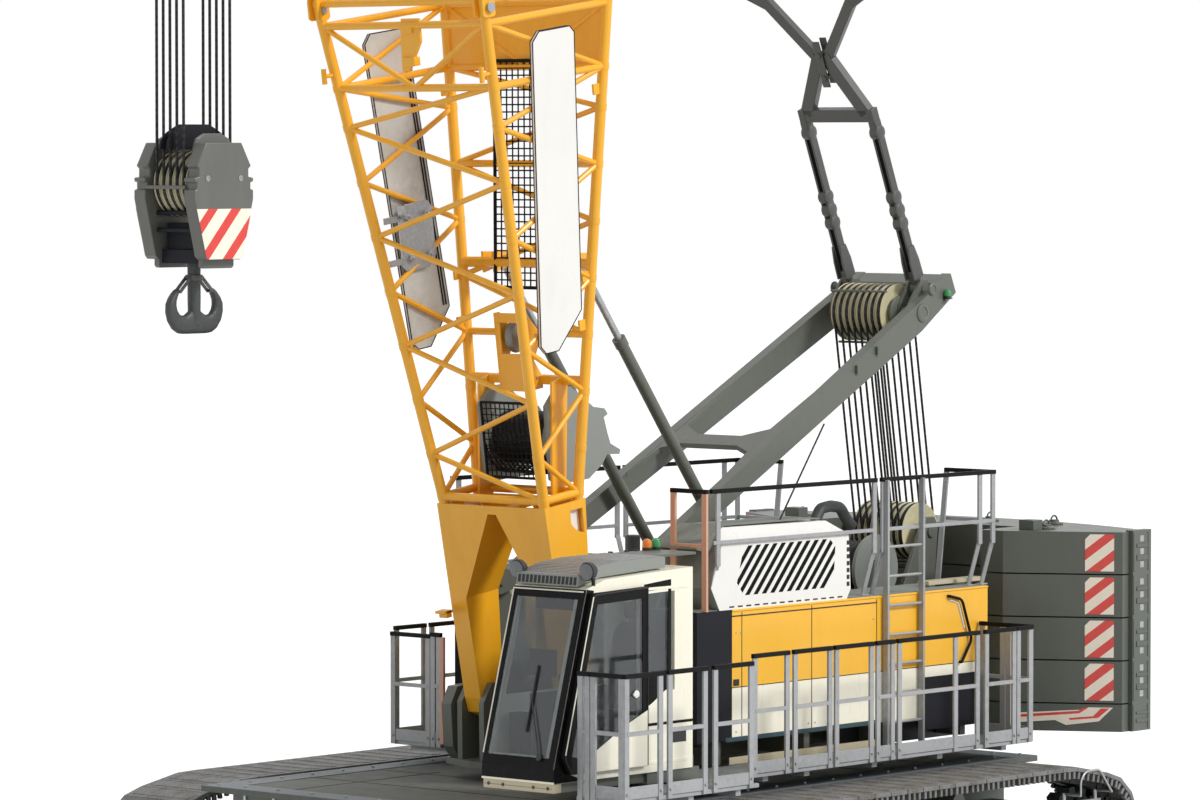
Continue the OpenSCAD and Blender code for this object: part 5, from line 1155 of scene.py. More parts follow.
def buildHousing():
    bm = bmesh.new()  # near-black sheet behind the louvres: painted shade inside their openings
    sidePlate(bm, [(-1.1, 2.95), (0.24, 2.95), (0.34, 3.08), (0.24, 3.43), (-1.05, 3.43), (-1.13, 3.34)],
              1.592, 1.5965)
    finishPiece("louvre_back", bm, paintedShadeBlack, "upper")
    # dark strips on the housing wall: painted shade inside its slots
    bm = bmesh.new()
    for i in range(14):  # short slots along the foot of the housing
        x = 0.44 - i * 0.1225
        addBox(bm, (x - 0.07, 1.599, 2.856), (x, 1.602, 2.87))
    for i in range(7):
        z = 2.96 + i * 0.065
        addBox(bm, (-1.33, 1.599, z), (-1.29, 1.6025, z + 0.04))
    finishPiece("housing_slots", bm, sealRubberAndSlotShade, "upper")
    bm = bmesh.new()  # coated front and top, and the sloped cover over its front edge
    addBox(bm, (-1.1, 0.97, 3.6), (0.4, 1.43, 3.606))
    edge = [(0.58, 2.84), (0.70, 3.05), (0.53, 3.49), (0.42, 3.59)]
    for a, b in zip(edge, edge[1:]):
        y0, y1 = (1.598 - max(0.0, z - 3.44) * 0.9625 for z in (a[1], b[1]))
        corners = [(a[0], 0.95, a[1]), (a[0], y0, a[1]), (b[0], y1, b[1]), (b[0], 0.95, b[1])]
        out = Vector((b[1] - a[1], 0, a[0] - b[0])).normalized()
        addPlate(bm, corners, out * 0.004)
    cover = [(0.40, 0.97, 3.604), (0.40, 1.5, 3.604), (0.8, 1.5, 3.41), (0.8, 0.97, 3.41)]
    addPlate(bm, cover, (0, 0, 0.014))
    for y in (0.98, 1.475):
        addPlate(bm, [(0.5, y, 3.545), (0.79, y, 3.41), (0.6, y, 3.36), (0.54, y, 3.46)], (0, 0.012, 0))
    finishPiece("housing_top", bm, roofCoating, "upper", 0.001)
    bm = bmesh.new()  # low hood on the right house
    outline = [(-1.2, roofZ), (0.5, roofZ), (0.5, 3.06), (0.42, 3.14), (-1.12, 3.14), (-1.2, 3.06)]
    sidePlate(bm, outline, -1.5, -1.0)
    hood = finishPiece("right_hood", bm, whiteEnamel, "upper", 0.01)
    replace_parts(hood, "right_housing")
    # dark strips on the hood: painted shade inside its slots
    bm = bmesh.new()
    for i in range(12):
        x = 0.36 - i * 0.12
        addBox(bm, (x - 0.07, -1.42, 3.139), (x, -1.08, 3.1425))
        addBox(bm, (x - 0.07, -1.5025, 2.93), (x, -1.499, 3.0))
    finishPiece("right_hood_slots", bm, sealRubberAndSlotShade, "upper")
    bm = bmesh.new()  # black front strip of both houses, longer on the left
    for side, x1 in ((1, house["front"]), (-1, 0.7)):
        addBox(bm, (0.416, side * 0.942, house["low"]), (x1, side * house["y"], house["top"]))
    strip = finishPiece("house_front_strips", bm, charcoalEnamel, "upper", 0.006)
    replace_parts(strip, "panels_front")
    bm = bmesh.new()  # coated walking surface of the house roofs
    for side, x1 in ((1, 0.9), (-1, 0.69)):
        for start, end in ((-3.46, -1.36), (0.6, x1)):
            addBox(bm, (start, side * 0.95, house["top"]), (end, side * 1.595, house["top"] + 0.005))
    finishPiece("roof_coating", bm, roofCoating, "upper", 0.001)


bothSides(buildHouseSides)
buildHousing()


def buildRoofItems():
    bm = bmesh.new()  # bent exhaust over the rear of the housing
    pipe = [(-1.18, 3.56), (-1.26, 3.68), (-1.41, 3.70), (-1.56, 3.68), (-1.65, 3.57), (-1.74, 3.49)]
    addSweep(bm, rounded([(x, 1.3, z) for x, z in pipe], 0.04), 0.055, 16)
    stub = [(0.075, 0.0), (0.075, 0.45), (0.06, 0.46), (0.001, 0.46)]
    addTurned(bm, stub, (-1.55, -1.3, 2.84), (0, 0, 1), 24)
    addTurned(bm, [(0.1, 0.0), (0.1, 0.03), (0.001, 0.03)], (-1.55, -1.3, house["top"]), (0, 0, 1), 24)
    finishPiece("exhaust_pipes", bm, hookSteel, "upper")
    bm = bmesh.new()
    addBox(bm, (-3.74, 1.22, 2.86), (-2.86, 1.36, 2.9))
    addBox(bm, (-3.47, 1.25, house["top"]), (-3.3, 1.33, 2.87))
    addBox(bm, (-3.0, 1.25, house["top"]), (-2.9, 1.33, 2.87))
    finishPiece("roof_beige_strip", bm, beigeAndShadedCreamEnamel, "upper", 0.004)
    bm = bmesh.new()  # salmon gate at the front of the roof rail
    for x, y in ((0.764, 1.2), (0.79, 1.6)):
        addBeam(bm, (x, y, roofZ), (x, y, 3.93), (0, 1, 0), 0.058, 0.03)
    addBeam(bm, (0.764, 1.2, 3.44), (0.79, 1.6, 3.44), (0, 0, 1), 0.04, 0.024)
    addBeam(bm, (0.862, -1.615, 1.405), (0.862, -1.615, 2.43), (0, 1, 0), 0.05, 0.03)
    finishPiece("gate_posts", bm, salmonEnamel, "upper", 0.003)
    bm = bmesh.new()
    addBeam(bm, (0.763, 1.17, 3.945), (0.792, 1.63, 3.945), (0, 0, 1), 0.04, 0.04)
    finishPiece("gate_rail", bm, blackEnamel, "upper", 0.003)


# Guard rails: flat aluminium posts in pairs, black square top rails
fence = {"post": 0.058, "thick": 0.022, "rail": 0.04, "toe": 0.11, "sideY": 2.272, "cabY": 2.872,
         "roofY": 1.618, "roofTop": 3.945, "roofRear": -3.54, "ladder": (-1.838, -2.386)}


def addPanel(metal, black, a, b, floor, top):  # one rail panel between its two end posts
    a, b = Vector((*a, 0)), Vector((*b, 0))
    run = (b - a).normalized()
    up = Vector((0, 0, 1))
    crown = up * (top - fence["rail"] / 2)
    for p in (a, b):
        addBeam(metal, p + up * (floor - 0.035), p + crown, run, fence["post"], fence["thick"])
        addBolt(metal, p + up * (floor + 0.05) + run.cross(up) * 0.011, run.cross(up), 0.026, 0.5)
    toe, middle = up * (floor + fence["toe"] / 2), up * (floor + (top - floor) * 0.52)
    addBeam(metal, a + toe, b + toe, up, fence["toe"], 0.008)
    addBeam(metal, a + middle, b + middle, up, 0.036, 0.03)
    addBeam(black, a - run * 0.03 + crown, b + run * 0.03 + crown, up, fence["rail"], fence["rail"])


def buildFences():
    metal, black = bmesh.new(), bmesh.new()
    cabWalk, sideWalk = (1.42, 2.52), (1.405, 2.5)  # floor and top of the rails
    cabY, sideY = fence["cabY"], fence["sideY"]
    for x0, x1 in ((3.36, 2.905), (2.777, 2.298), (2.156, 1.662)):
        addPanel(metal, black, (x0, cabY), (x1, cabY), *cabWalk)
    addPanel(metal, black, (3.38, 2.835), (3.38, 2.51), *cabWalk)
    addPanel(metal, black, (3.38, 2.44), (3.38, 2.36), *cabWalk)
    for x0, x1 in ((0.882, 0.419), (0.302, -0.205), (-0.304, -0.82), (-0.92, -1.14), (-1.243, -2.445),
                   (-2.586, -3.02), (-3.09, -3.28)):
        addPanel(metal, black, (x0, sideY), (x1, sideY), *sideWalk)
        if x0 < 0.88:
            addPanel(metal, black, (x0, -sideY), (x1, -sideY), *sideWalk)
    addPanel(metal, black, (0.80, -sideY), (0.419, -sideY), *sideWalk)
    for y in (sideY, -sideY):
        addBeam(metal, (-2.103, y, 1.37), (-2.103, y, 2.48), (1, 0, 0), fence["post"], fence["thick"])
    addPanel(metal, black, (0.862, -2.256), (0.862, -1.8), 1.405, 2.45)
    addPanel(metal, black, (0.862, -1.735), (0.862, -1.66), 1.405, 2.47)
    for side in (1, -1):
        addPanel(metal, black, (-3.332, side * 2.235), (-3.332, side * 1.975), *sideWalk)
        addPanel(metal, black, (-3.332, side * 1.905), (-3.332, side * 1.655), *sideWalk)
    obj = finishPiece("walkway_rails", metal, aluminium, "upper", 0.002)
    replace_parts(obj, "railing_left", "railing_right")

    metal = bmesh.new()
    crown, rear = fence["roofTop"], fence["roofRear"]
    middleShape, crownShape = ((0, 0, 1), 0.034, 0.028), ((0, 0, 1), fence["rail"], fence["rail"])
    for side, middle in ((1, 3.47), (-1, 3.37)):
        y = side * fence["roofY"]
        for x in (0.626, -1.686, -1.815, -3.332, rear):
            inward = (x, side * 1.48, 2.845)
            addBeam(metal, (x, y, 3.25), (x, y, 3.95), (1, 0, 0), fence["post"], fence["thick"])
            addBeam(metal, (x, y - side * 0.004, 3.28), inward, (1, 0, 0), fence["post"], 0.014)
            addBox(metal, (x - 0.05, inward[1] - 0.04, roofZ), (x + 0.05, inward[1] + 0.04, 2.852))
        for x0, x1 in ((0.7, -1.686), (-1.815, rear)):
            addBeam(metal, (x0, y, middle), (x1, y, middle), *middleShape)
            addBeam(black, (x0 + 0.03, y, crown), (x1 - 0.03, y, crown), *crownShape)
        addBeam(metal, (rear, y, middle), (rear, side * 1.05, middle), *middleShape)
        addBeam(black, (rear, y, crown), (rear, side * 1.03, crown), *crownShape)
        foot, head = (-3.4, side * 1.05, roofZ), (rear, side * 1.05, 3.93)
        addBeam(metal, foot, head, (0, 1, 0), fence["post"], 0.02)
    for x in fence["ladder"]:  # ladder up to the roof
        addBeam(metal, (x, 1.645, 1.406), (x, 1.645, 3.94), (0, 1, 0), 0.06, 0.03)
    for i in range(7):
        z = 1.62 + i * 0.28
        addRod(metal, (fence["ladder"][0], 1.65, z), (fence["ladder"][1], 1.65, z), 0.014, 10)
    obj = finishPiece("roof_rails_and_ladder", metal, aluminium, "upper", 0.002)
    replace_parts(obj, "roof_railings")
    finishPiece("rail_top_bars", black, blackEnamel, "upper", 0.003)


def buildWalkways():
    bm = bmesh.new()
    addBox(bm, (1.53, 2.3, 1.38), (3.37, 2.862, 1.416))
    addBox(bm, (-3.32, 1.64, 1.365), (1.47, 2.262, 1.4))
    addBox(bm, (1.44, 1.64, 1.365), (1.64, 2.31, 1.4))
    addBox(bm, (-3.32, -2.262, 1.365), (0.85, -1.64, 1.4))
    for x in (-3.0, -2.0, -1.0, 0.0, 0.6):
        for side in (1, -1):
            addBox(bm, (x, side * 1.4, 1.31), (x + 0.08, side * 2.2, 1.365))
    for x in (1.75, 2.4, 3.05):
        addBox(bm, (x, 2.23, 1.32), (x + 0.07, 2.83, 1.38))
    obj = finishPiece("walkway_plates", bm, aluminium, "upper", 0.003)
    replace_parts(obj, "walkway_left", "walkway_right")
    bm = bmesh.new()  # raised tread bars across the walkways
    for x0, x1, y0, y1, z in ((-3.3, 1.46, 1.65, 2.25, 1.4), (-3.3, 0.83, -2.25, -1.65, 1.4),
                              (1.55, 3.35, 2.31, 2.85, 1.416)):
        n = int((x1 - x0) / 0.06)
        for i in range(n):
            x = x0 + (x1 - x0) * i / n
            addBox(bm, (x, y0, z), (x + 0.02, y1, z + 0.005))
    finishPiece("walkway_treads", bm, grating, "upper")


buildRoofItems()
buildFences()
buildWalkways()
print("houses and rails dressed")


# Counterweight: warning stripes, end frames and lifting eyes

weights = {"corner": (-4.02, 1.38), "end": (-4.61, 2.4), "base": 1.652, "slab": 0.424, "top": 3.334,
           "stripe0": 0.81, "stripe1": 1.095, "period": 0.22, "red": 0.105, "slope": 0.78}


def stripePlate(name, outline, place, body, period, red, slope, phase=0.0, thick=0.003):
    # the outline is in (a, b), and is cut along each stripe's edge so that every stripe is its own face
    bm = bmesh.new()
    bm.faces.new([bm.verts.new((a, b, 0)) for a, b in outline])
    values = [b - slope * a for a, b in outline]
    k = math.floor((min(values) - phase) / period) - 1
    normal = Vector((-slope, 1, 0)).normalized()
    while phase + k * period < max(values):
        for edge in (phase + k * period, phase + k * period + red):
            bmesh.ops.bisect_plane(bm, geom=bm.verts[:] + bm.edges[:] + bm.faces[:], plane_co=(0, edge, 0),
                                   plane_no=normal, dist=1e-6)
        k += 1
    for face in bm.faces:
        c = face.calc_center_median()
        face.material_index = 1 if ((c.y - slope * c.x - phase) / period) % 1.0 < red / period else 0
    for v in bm.verts:
        v.co.z = thick
    rim = bmesh.ops.extrude_edge_only(bm, edges=[e for e in bm.edges if e.is_boundary])["geom"]
    for v in [g for g in rim if isinstance(g, bmesh.types.BMVert)]:
        v.co.z = 0
    return finishPiece(name, bm, [whiteTape, redTape], body, 0, place)


def chamferPlace(side):  # a runs along the chamfer towards the tail, b runs up
    (x0, y0), (x1, y1) = weights["corner"], weights["end"]
    along = Vector((x1 - x0, y1 - y0, 0)).normalized()
    up = Vector((0, 0, 1))
    out = along.cross(up)
    m = Matrix((along, up, out)).transposed().to_4x4()
    m.translation = Vector((x0, y0, 0))
    return Matrix.Diagonal((1, side, 1, 1)) @ m


def weightLevels():  # foot and height of the base and of the four slabs
    slabs = [(weights["base"] + i * weights["slab"], weights["slab"]) for i in range(4)]
    return [(1.37, 0.28)] + slabs


def buildWeightStripes(side, word):
    a0, a1 = weights["stripe0"], weights["stripe1"]
    for i in range(4):
        z0 = weightLevels()[i + 1][0] + 0.024
        z1 = z0 + 0.363
        outline = [(a0, z0), (a1, z0), (a1, z1), (a0 + 0.05, z1), (a0, z1 - 0.05)]
        phase = z0 + 0.106 - weights["slope"] * a0
        stripePlate(f"weight_stripes_{word}_{i + 1}", outline, chamferPlace(side), "upper", weights["period"],
                    weights["red"], weights["slope"], phase)
    white, red = bmesh.new(), bmesh.new()
    band = [(0.02, 1.44), (0.518, 1.477), (0.627, 1.43), (0.952, 1.472), (1.09, 1.608), (0.848, 1.608),
            (0.793, 1.585), (0.02, 1.535)]
    addPlate(white, [(a, b, 0) for a, b in band], (0, 0, 0.003))
    for line in ([(0.02, 1.49), (0.76, 1.548), (0.845, 1.604), (0.8, 1.604), (0.745, 1.572), (0.02, 1.516)],
                 [(0.655, 1.5), (0.896, 1.522), (0.972, 1.6), (1.055, 1.6), (0.945, 1.506), (0.668, 1.481)]):
        addPlate(red, [(a, b, 0.0005) for a, b in line], (0, 0, 0.0035))
    finishPiece(f"weight_band_white_{word}", white, whiteTape, "upper", 0, chamferPlace(side))
    finishPiece(f"weight_band_red_{word}", red, redTape, "upper", 0, chamferPlace(side))


def buildWeightFrames(side, word):
    bm = bmesh.new()
    for z, h in weightLevels():
        for x in (-5.01, -4.77):
            addBox(bm, (x, side * 2.43, z + 0.02), (x + 0.04, side * 2.452, z + h - 0.02))
        for low, high in ((0.3, 0.42), (0.6, 0.68)):
            addBox(bm, (-4.96, side * 2.44, z + h * low), (-4.78, side * 2.456, z + h * high))
    finishPiece(f"weight_frame_{word}", bm, weightEnamel, "upper", 0.004)
    bm = bmesh.new()
    for z, h in weightLevels()[1:]:
        for f in (0.2, 0.5, 0.8):
            addBox(bm, (-4.9, side * 2.444, z + h * f - 0.03), (-4.84, side * 2.4475, z + h * f + 0.03))
    finishPiece(f"weight_frame_slots_{word}", bm, zincSteel, "upper", 0.001)


def buildWeightTops():
    foot = [(0.09, 0.0), (0.09, 0.02), (0.05, 0.03), (0.05, 0.05), (0.001, 0.05)]
    arch = [math.pi * k / 10 for k in range(11)]
    bm = bmesh.new()
    for side in (1, -1):
        for x, y in ((-4.5, 1.55), (-5.1, 1.2), (-5.1, 0.4)):
            c = Vector((x, side * y, weights["top"]))
            addTurned(bm, foot, c, (0, 0, 1), 20)
            addSweep(bm, [c + Vector((0.05 * math.cos(a), 0, 0.04 + 0.05 * math.sin(a))) for a in arch], 0.01)
        addBox(bm, (-4.4, side * 1.4, weights["top"]), (-4.25, side * 1.58, weights["top"] + 0.1))
    for z, _ in weightLevels():
        for y in (-1.0, 1.0):
            addBox(bm, (-5.53, y - 0.09, z + 0.1), (-5.44, y + 0.09, z + 0.22))
    finishPiece("weight_lifting_eyes", bm, weightEnamel, "upper", 0.006)


bothSides(buildWeightStripes)
bothSides(buildWeightFrames)
buildWeightTops()
print("counterweight dressed")


# Gantry: cleats, pin caps, lamp and tie rope

gantry = {"outer": 0.741, "skew": 0.034, "top": 3.635, "slope": 0.53}


def armTop(x):
    return gantry["top"] - gantry["slope"] * x


def buildGantryItems():
    bm = bmesh.new()
    for side in (1, -1):
        for x in (-2.95, -2.62):  # small cleats on the outer face
            y = side * (gantry["outer"] + gantry["skew"] * x)
            addBox(bm, (x - 0.02, y, armTop(x) - 0.12), (x + 0.02, y + side * 0.03, armTop(x) - 0.04))
        y = side * (gantry["outer"] + gantry["skew"] * -3.7)
        for x, z, r in ((-3.704, 5.467, 0.09), (-3.86, 5.7, 0.06)):
            cap = [(r, 0), (r, 0.012), (r * 0.72, 0.02), (r * 0.66, 0.012), (0.001, 0.012)]
            addTurned(bm, cap, (x, y, z), (0, side, 0), 28)
        addTurned(bm, [(0.09, 0), (0.09, 0.03), (0.001, 0.03)], (1.08, side * 0.868, 3.05), (0, side, 0), 24)
        addBolt(bm, (-4.085, side * 0.603, 5.6), (0, side, 0), 0.04, 0.4)
    finishPiece("gantry_pin_caps", bm, frameEnamel, "gantry", 0.002)
    bm = bmesh.new()
    addBox(bm, (-4.12, 0.6, 5.6), (-4.05, 0.67, 5.612))
    addRod(bm, (-4.085, 0.635, 5.6), (-4.085, 0.635, 5.628), 0.032, 16)
    finishPiece("gantry_lamp_bracket", bm, blackPlastic, "gantry", 0.002)
    bm = bmesh.new()
    bowl = [(0.03, 0.0), (0.036, 0.02), (0.03, 0.05), (0.016, 0.066), (0.001, 0.07)]
    addTurned(bm, bowl, (-4.085, 0.635, 5.628), (0, 0, 1), 20)
    finishPiece("gantry_lamp", bm, greenLens, "gantry")
    bm = bmesh.new()  # thin rope from the housing up to the arm
    a, b = Vector((-0.66, 1.3, 3.607)), Vector((-2.134, 0.64, 4.429))
    addSweep(bm, [a, b], 0.009)
    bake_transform(finishPiece("arm_tie_rope", bm, rope, None))


# Pendants: double flat links from the gantry head up to the spreader
pendant = {"pinX": -3.86, "pinZ": 5.70, "angle": 67.365, "y": 0.43, "knuckles": (0.707, 0.847, 0.988, 1.677),
           "bar": 3.47, "barY": 1.13}


def buildPendantLinks():
    place = leaningFrame(pendant["angle"], pendant["pinX"], pendant["pinZ"])
    links, gaps = bmesh.new(), bmesh.new()
    for side in (1, -1):
        y = side * pendant["y"]
        for k in (-0.034, 0.034):
            addBox(links, (0.1, y + k - 0.012, -0.045), (0.70, y + k + 0.012, 0.045))
            addBox(links, (1.0, y + k - 0.012, -0.045), (1.8, y + k + 0.012, 0.045))
            wide = [(0.12, 0.08), (0.3, 0.075), (0.46, 0.046), (0.46, -0.046), (0.3, -0.075), (0.12, -0.08)]
            sidePlate(links, wide, y + k * 1.45 - 0.01, y + k * 1.45 + 0.01)
        # near-black boxes filling the gap between each pair of plates: painted shade in the gap
        addBox(gaps, (0.1, y - 0.022, -0.037), (0.7, y + 0.022, 0.037))
        addBox(gaps, (1.0, y - 0.022, -0.037), (1.8, y + 0.022, 0.037))
        for s in pendant["knuckles"]:
            knuckle = [(0.05, -0.055), (0.072, -0.045), (0.076, 0), (0.072, 0.045), (0.05, 0.055)]
            addTurned(links, knuckle, (s, y, 0), (0, 1, 0), 24)
        for k in (-0.034, 0.034):
            addBox(links, (0.68, y + k - 0.012, -0.05), (1.02, y + k + 0.012, 0.05))
        boss = [(0.07, -0.044), (0.085, -0.036), (0.085, 0.036), (0.07, 0.044)]
        addTurned(links, boss, (0, y, 0), (0, 1, 0))
        addBox(links, (0.0, y - 0.03, -0.05), (0.2, y + 0.03, 0.05))
        addBeam(links, (1.68, y, 0), (1.93, y, 0), (0, 1, 0), 0.075, 0.1)
        # triangle and arms
        addBeam(links, (1.88, side * 0.375, 0), (2.5, side * 0.035, 0), (0, 1, 0), 0.135, 0.09)
        addBeam(links, (2.42, side * 0.02, 0), (3.06, side * 0.53, 0), (0, 1, 0), 0.11, 0.075)
        addBeam(links, (3.03, side * 0.5, 0), (3.33, side * 1.07, 0), (0, 1, 0), 0.11, 0.07)
        x, w = pendant["bar"], side * pendant["barY"]
        addRod(links, (x, w - 0.03, 0), (x, w + 0.03, 0), 0.075, 32)
        addBox(links, (x - 0.15, w - 0.03, -0.04), (x, w + 0.03, 0.04))
    addBox(links, (1.8, -0.43, -0.045), (1.93, 0.43, 0.045))
    addRod(links, (3.32, -1.185, 0), (3.32, 1.185, 0), 0.055, 20)
    for z in (-0.066, 0.05):  # fork link in the middle, with its two pins
        outline = [(2.18, -0.045), (2.18, 0.045), (2.66, 0.04), (2.66, -0.04)]
        addPlate(links, [(s, y, z) for s, y in outline], (0, 0, 0.016))
    for s in (2.275, 2.515):
        addRod(links, (s, 0, -0.08), (s, 0, 0.08), 0.028, 16)
    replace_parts(finishPiece("pendant_links", links, linkEnamel, "pendants", 0.005, place), "spreader")
    finishPiece("pendant_link_gap_shade", gaps, paintedShadeBlack, "pendants", 0, place)


def buildPins():
    bm = bmesh.new()
    for side in (1, -1):
        cap = [(0.1, 0), (0.1, 0.014), (0.062, 0.024), (0.001, 0.024)]
        addTurned(bm, cap, (boom["footX"], side * 0.778, boom["footZ"]), (0, side, 0), 28)
        addBox(bm, (1.34, side * 0.79 - 0.006, 1.86), (1.48, side * 0.79 + 0.006, 1.885))
        for x in (1.355, 1.465):
            addBolt(bm, (x, side * 0.794, 1.872), (0, side, 0), 0.018, 0.6)
        washer = [(0.055, 0), (0.055, 0.012), (0.001, 0.012)]
        addTurned(bm, washer, (-1.12, side * 0.581, 2.95), (0, side, 0), 20)
    finishPiece("frame_pin_caps", bm, brightSteel, "upper", 0.002)
    bm = bmesh.new()  # hoses between the girders and the boom foot
    for i, y in enumerate((-0.34, -0.28, -0.22, 0.22, 0.28)):
        path = [(0.75, y, 1.75), (1.0, y, 1.82), (1.22, y * 1.05, 2.02 + 0.02 * i), (1.3, y * 1.1, 2.3)]
        addSweep(bm, rounded(path, 0.1), 0.014)
        addRod(bm, (0.72, y, 1.75), (0.78, y, 1.755), 0.022, 6)
    finishPiece("boom_foot_hoses", bm, hoseRubber, "upper")
    bm = bmesh.new()
    addBox(bm, (0.66, -0.4, 1.6), (0.73, 0.4, 1.86))
    addBox(bm, (0.5, -0.78, 1.4), (0.66, 0.78, 1.62))
    finishPiece("valve_block", bm, frameEnamel, "upper", 0.01)


buildGantryItems()
buildPendantLinks()
buildPins()
print("gantry dressed")


# Hook block and hook

block = {"x": 5.7831, "z": 6.79, "in": 0.24, "cheek": 0.374, "edge": [
    (0.215, 0.356), (0.33, 0.155), (0.30, 0.13), (0.30, 0.062), (0.358, 0.052), (0.358, 0.02), (0.325, 0.012),
    (0.325, -0.044), (0.358, -0.054), (0.358, -0.13), (0.232, -0.625), (0.20, -0.655)]}
hump = [(-0.23, 0.3), (-0.2, 0.39), (-0.1, 0.436), (0.1, 0.436), (0.2, 0.39), (0.23, 0.3), (0.23, -0.1),
        (-0.23, -0.1)]
dome = [(-0.37, 0.3), (-0.36, 0.38), (-0.29, 0.445), (-0.15, 0.515), (0.15, 0.515), (0.29, 0.445),
        (0.36, 0.38), (0.37, 0.3)]
horn = [  # points on the inner and the outer edge of the double hook, from its middle to a tip
    ((0, 5.70), (0, 5.487)), ((0.045, 5.70), (0.05, 5.487)), ((0.075, 5.678), (0.1, 5.487)),
    ((0.11, 5.655), (0.15, 5.488)), ((0.15, 5.648), (0.2, 5.494)), ((0.19, 5.662), (0.262, 5.53)),
    ((0.22, 5.70), (0.315, 5.60)), ((0.232, 5.745), (0.335, 5.67)), ((0.23, 5.785), (0.332, 5.745)),
    ((0.215, 5.815), (0.305, 5.80)), ((0.2, 5.84), (0.262, 5.85)), ((0.192, 5.86), (0.238, 5.87)),
    ((0.195, 5.878), (0.218, 5.88))]


def mirrored(points):  # a half outline from top to bottom, closed on the other side
    return points + [(-x, z) for x, z in reversed(points)]


def buildHookBlock():
    x0, z0 = block["x"], block["z"]
    gap = block["in"] + 0.002  # what sits between the cheeks runs 2 mm into them

    def at(outline):
        return [(x0 + x, z0 + z) for x, z in outline]

    bm, dark, pale = bmesh.new(), bmesh.new(), bmesh.new()
    for side, word in leftRight:
        place = Matrix.Translation((x0, side * block["cheek"], z0)) @ Matrix((
            (-side, 0, 0, 0), (0, 0, side, 0), (0, 1, 0, 0), (0, 0, 0, 1)))
        outline = [(-0.205, -0.65), (0.205, -0.65), (0.222, -0.628), (0.334, -0.215), (-0.334, -0.215),
                   (-0.222, -0.628)]
        stripePlate(f"hook_stripes_{word}", outline, place, "hook_block", 0.313, 0.131, 1.1, -0.1265)
        sidePlate(bm, at(mirrored(block["edge"])), side * block["in"], side * block["cheek"])
        sidePlate(bm, at(hump), side * 0.206, side * 0.241)
        foot = [(-0.19, -0.6), (0.19, -0.6), (0.19, -0.71), (0.17, -0.73), (-0.17, -0.73), (-0.19, -0.71)]
        sidePlate(bm, at(foot), side * 0.241, side * 0.3)
        sidePlate(dark, at(dome), side * 0.036, side * 0.046)
        for x in (-0.2, 0.2):
            addTurned(pale, [(0.026, 0.0), (0.026, 0.004), (0.015, 0.004), (0.015, 0.001), (0.001, 0.001)],
                      (x0 + x, side * 0.3745, z0 + 0.048), (0, side, 0), 20)
    for k in (-1, 1):
        addBox(bm, (x0 + k * 0.31, -gap, z0 - 0.044), (x0 + k * 0.35, gap, z0 - 0.012))
        for z in (-0.25, -0.4):
            addRod(dark, (x0 + k * 0.2, -gap, z0 + z), (x0 + k * 0.2, gap, z0 + z), 0.02)
    addBox(dark, (x0 - 0.15, -gap, z0 - 0.69), (x0 + 0.15, gap, z0 - 0.57))
    addRod(dark, (x0, -gap, z0), (x0, gap, z0), 0.058, 24)
    addBox(dark, (x0 - 0.12, -0.2, z0 - 0.57), (x0 + 0.12, 0.2, z0 - 0.34))
    cheeks = finishPiece("hook_block_frame", bm, cheekEnamel, "hook_block", 0.008)
    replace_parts(cheeks, "hook_block")
    finishPiece("hook_block_core", dark, charcoalEnamel, "hook_block", 0.003)
    finishPiece("hook_block_eyes", pale, brightSteel, "hook_block")
    sheaveSet("hook_block_sheaves", (x0, 0, z0), 0.289, 5, falls["pitch"], "hook_block")


def buildHook():
    x0 = block["x"]
    bm = bmesh.new()
    sections = [((-a[0], a[1]), (-b[0], b[1])) for a, b in reversed(horn[1:])] + horn
    squared = []  # a circle drawn towards a square, as a forging's section is
    for k in range(16):
        c, s = math.cos(math.tau * k / 16), math.sin(math.tau * k / 16)
        squared.append((math.copysign(abs(c) ** 0.8, c), math.copysign(abs(s) ** 0.8, s)))
    rings = []
    for i, (inner, outer) in enumerate(sections):
        inner, outer = Vector((x0 + inner[0], 0, inner[1])), Vector((x0 + outer[0], 0, outer[1]))
        depth = 0.024 + 0.018 * min(1.0, min(i, len(sections) - 1 - i) / 4)
        middle, half = (inner + outer) / 2, (outer - inner) / 2
        rings.append([bm.verts.new(middle + half * c + Vector((0, depth * s, 0))) for c, s in squared])
    joinRings(bm, rings)
    shank = [(0.05, 5.56), (0.0565, 5.66), (0.0575, 5.76), (0.0575, 6.3), (0.045, 6.31)]
    addTurned(bm, shank, (x0, 0, 0), (0, 0, 1))
    hook = finishPiece("double_hook", bm, hookSteel, "hook", 0, None, 50)
    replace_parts(hook, "hook")
    bm = bmesh.new()
    addTurned(bm, [(0.088, 6.222), (0.09, 6.23), (0.09, 6.28), (0.084, 6.29)], (x0, 0, 0), (0, 0, 1), 6)
    addTurned(bm, [(0.075, 5.95), (0.078, 5.96), (0.078, 5.99), (0.075, 6.0)], (x0, 0, 0), (0, 0, 1))
    for k in (-1, 1):  # safety latches from the shank to the tips
        start, end = Vector((x0 + k * 0.07, 0, 5.975)), Vector((x0 + k * 0.2, 0, 5.852))
        for y in (-0.03, 0.03):
            addBeam(bm, start + Vector((0, y, 0)), end + Vector((0, y, 0)), (k * 0.7, 0, 0.7), 0.034, 0.006)
        addRod(bm, start - Vector((0, 0.042, 0)), start + Vector((0, 0.042, 0)), 0.014)
        addRod(bm, end - Vector((0, 0.033, 0)), end + Vector((0, 0.033, 0)), 0.01)
    finishPiece("hook_latches", bm, linkEnamel, "hook", 0.002)


buildHookBlock()
buildHook()
print("hook block dressed")


# Floor, light and camera

def seenDirectly(tree):  # 1 where the camera, a mirror or a pane looks at it, 0 for the light that it gives
    path = addNode(tree, "ShaderNodeLightPath").outputs
    either = addNode(tree, "ShaderNodeMath", {
        0: path["Is Camera Ray"], 1: path["Is Glossy Ray"]}, operation="MAXIMUM")
    return addNode(tree, "ShaderNodeMath", {0: either, 1: path["Is Transmission Ray"]}, operation="MAXIMUM")


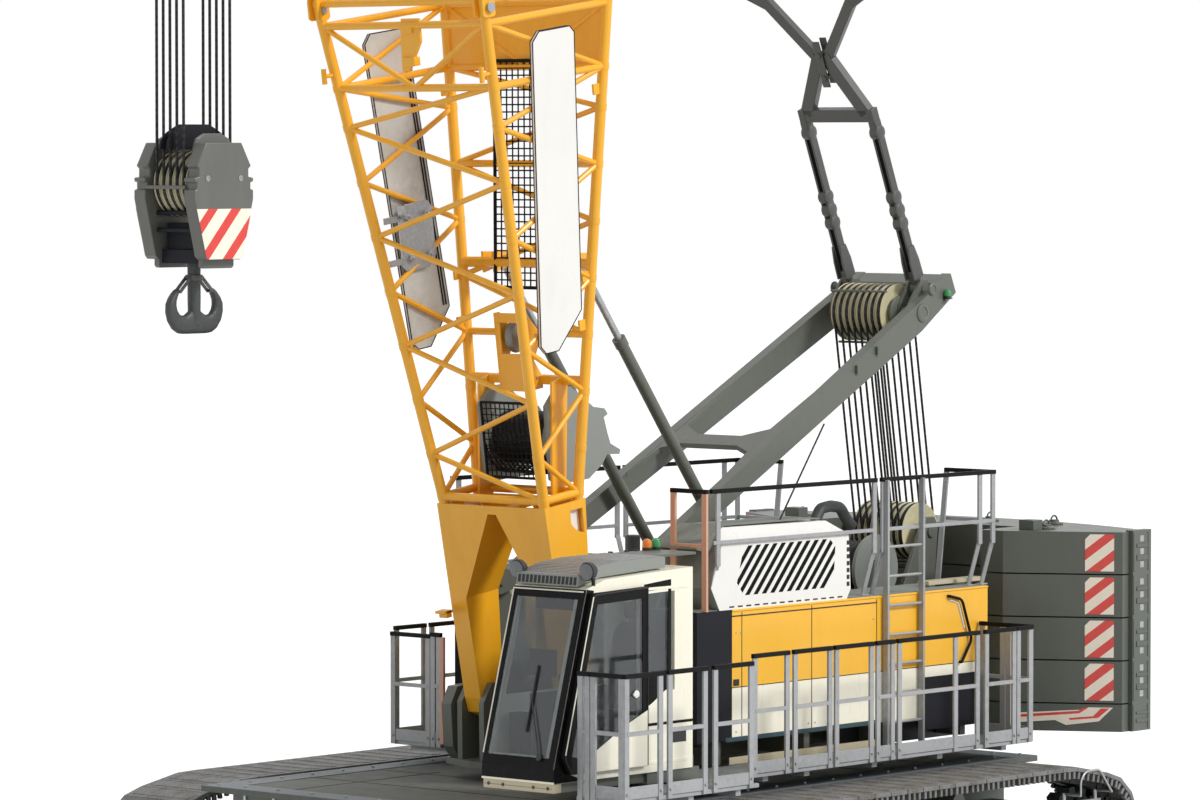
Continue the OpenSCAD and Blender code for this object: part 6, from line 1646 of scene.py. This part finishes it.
# Pale studio floor: matt grey that takes the shadow, lifted to white where it is looked at
def buildStage():
    bm = bmesh.new()
    bmesh.ops.create_grid(bm, x_segments=1, y_segments=1, size=150)
    material = bpy.data.materials.new("pale_studio_floor")
    tree = emptyTree(material)
    lift = addNode(tree, "ShaderNodeMath", {0: seenDirectly(tree), 1: 0.42}, operation="MULTIPLY")
    matt = addNode(tree, "ShaderNodeBsdfDiffuse", {"Color": linear("#e6e6e4")})
    glow = addNode(tree, "ShaderNodeEmission", {"Color": linear("#ffffff"), "Strength": lift})
    both = addNode(tree, "ShaderNodeAddShader", {0: matt, 1: glow})
    addNode(tree, "ShaderNodeOutputMaterial", {"Surface": both})
    finishPiece("floor", bm, material, None)


def buildLight():
    world = bpy.data.worlds.new("studio")
    bpy.context.scene.world = world
    tree = emptyTree(world)
    level = addNode(tree, "ShaderNodeMapRange", {
        "Value": seenDirectly(tree), "From Min": 0.0, "From Max": 1.0, "To Min": 0.52, "To Max": 1.0})
    sky = addNode(tree, "ShaderNodeBackground", {"Color": linear("#ffffff"), "Strength": level})
    addNode(tree, "ShaderNodeOutputWorld", {"Surface": sky})
    sun = bpy.data.lights.new("key", "SUN")
    sun.energy = 2.1
    sun.angle = math.radians(12)
    lamp = bpy.data.objects.new("key", sun)
    lamp.rotation_euler = Vector((0.25, -0.78, -0.62)).to_track_quat("-Z", "Y").to_euler()
    bpy.context.scene.collection.objects.link(lamp)


view = {"place": (41.094, 35.562, 7.139), "heading": 41.166, "dip": 2.553, "lens": 172.58}


def buildCamera():
    camera = bpy.data.cameras.new("view")
    camera.lens = view["lens"]
    camera.sensor_width = 36.0
    camera.clip_end = 600.0
    obj = bpy.data.objects.new("view", camera)
    h, d = math.radians(view["heading"]), math.radians(view["dip"])
    look = Vector((-math.cos(h) * math.cos(d), -math.sin(h) * math.cos(d), -math.sin(d)))
    obj.location = view["place"]
    obj.rotation_euler = look.to_track_quat("-Z", "Y").to_euler()
    bpy.context.scene.collection.objects.link(obj)
    bpy.context.scene.camera = obj


buildStage()
buildLight()
buildCamera()
bpy.context.scene.view_settings.view_transform = "Standard"
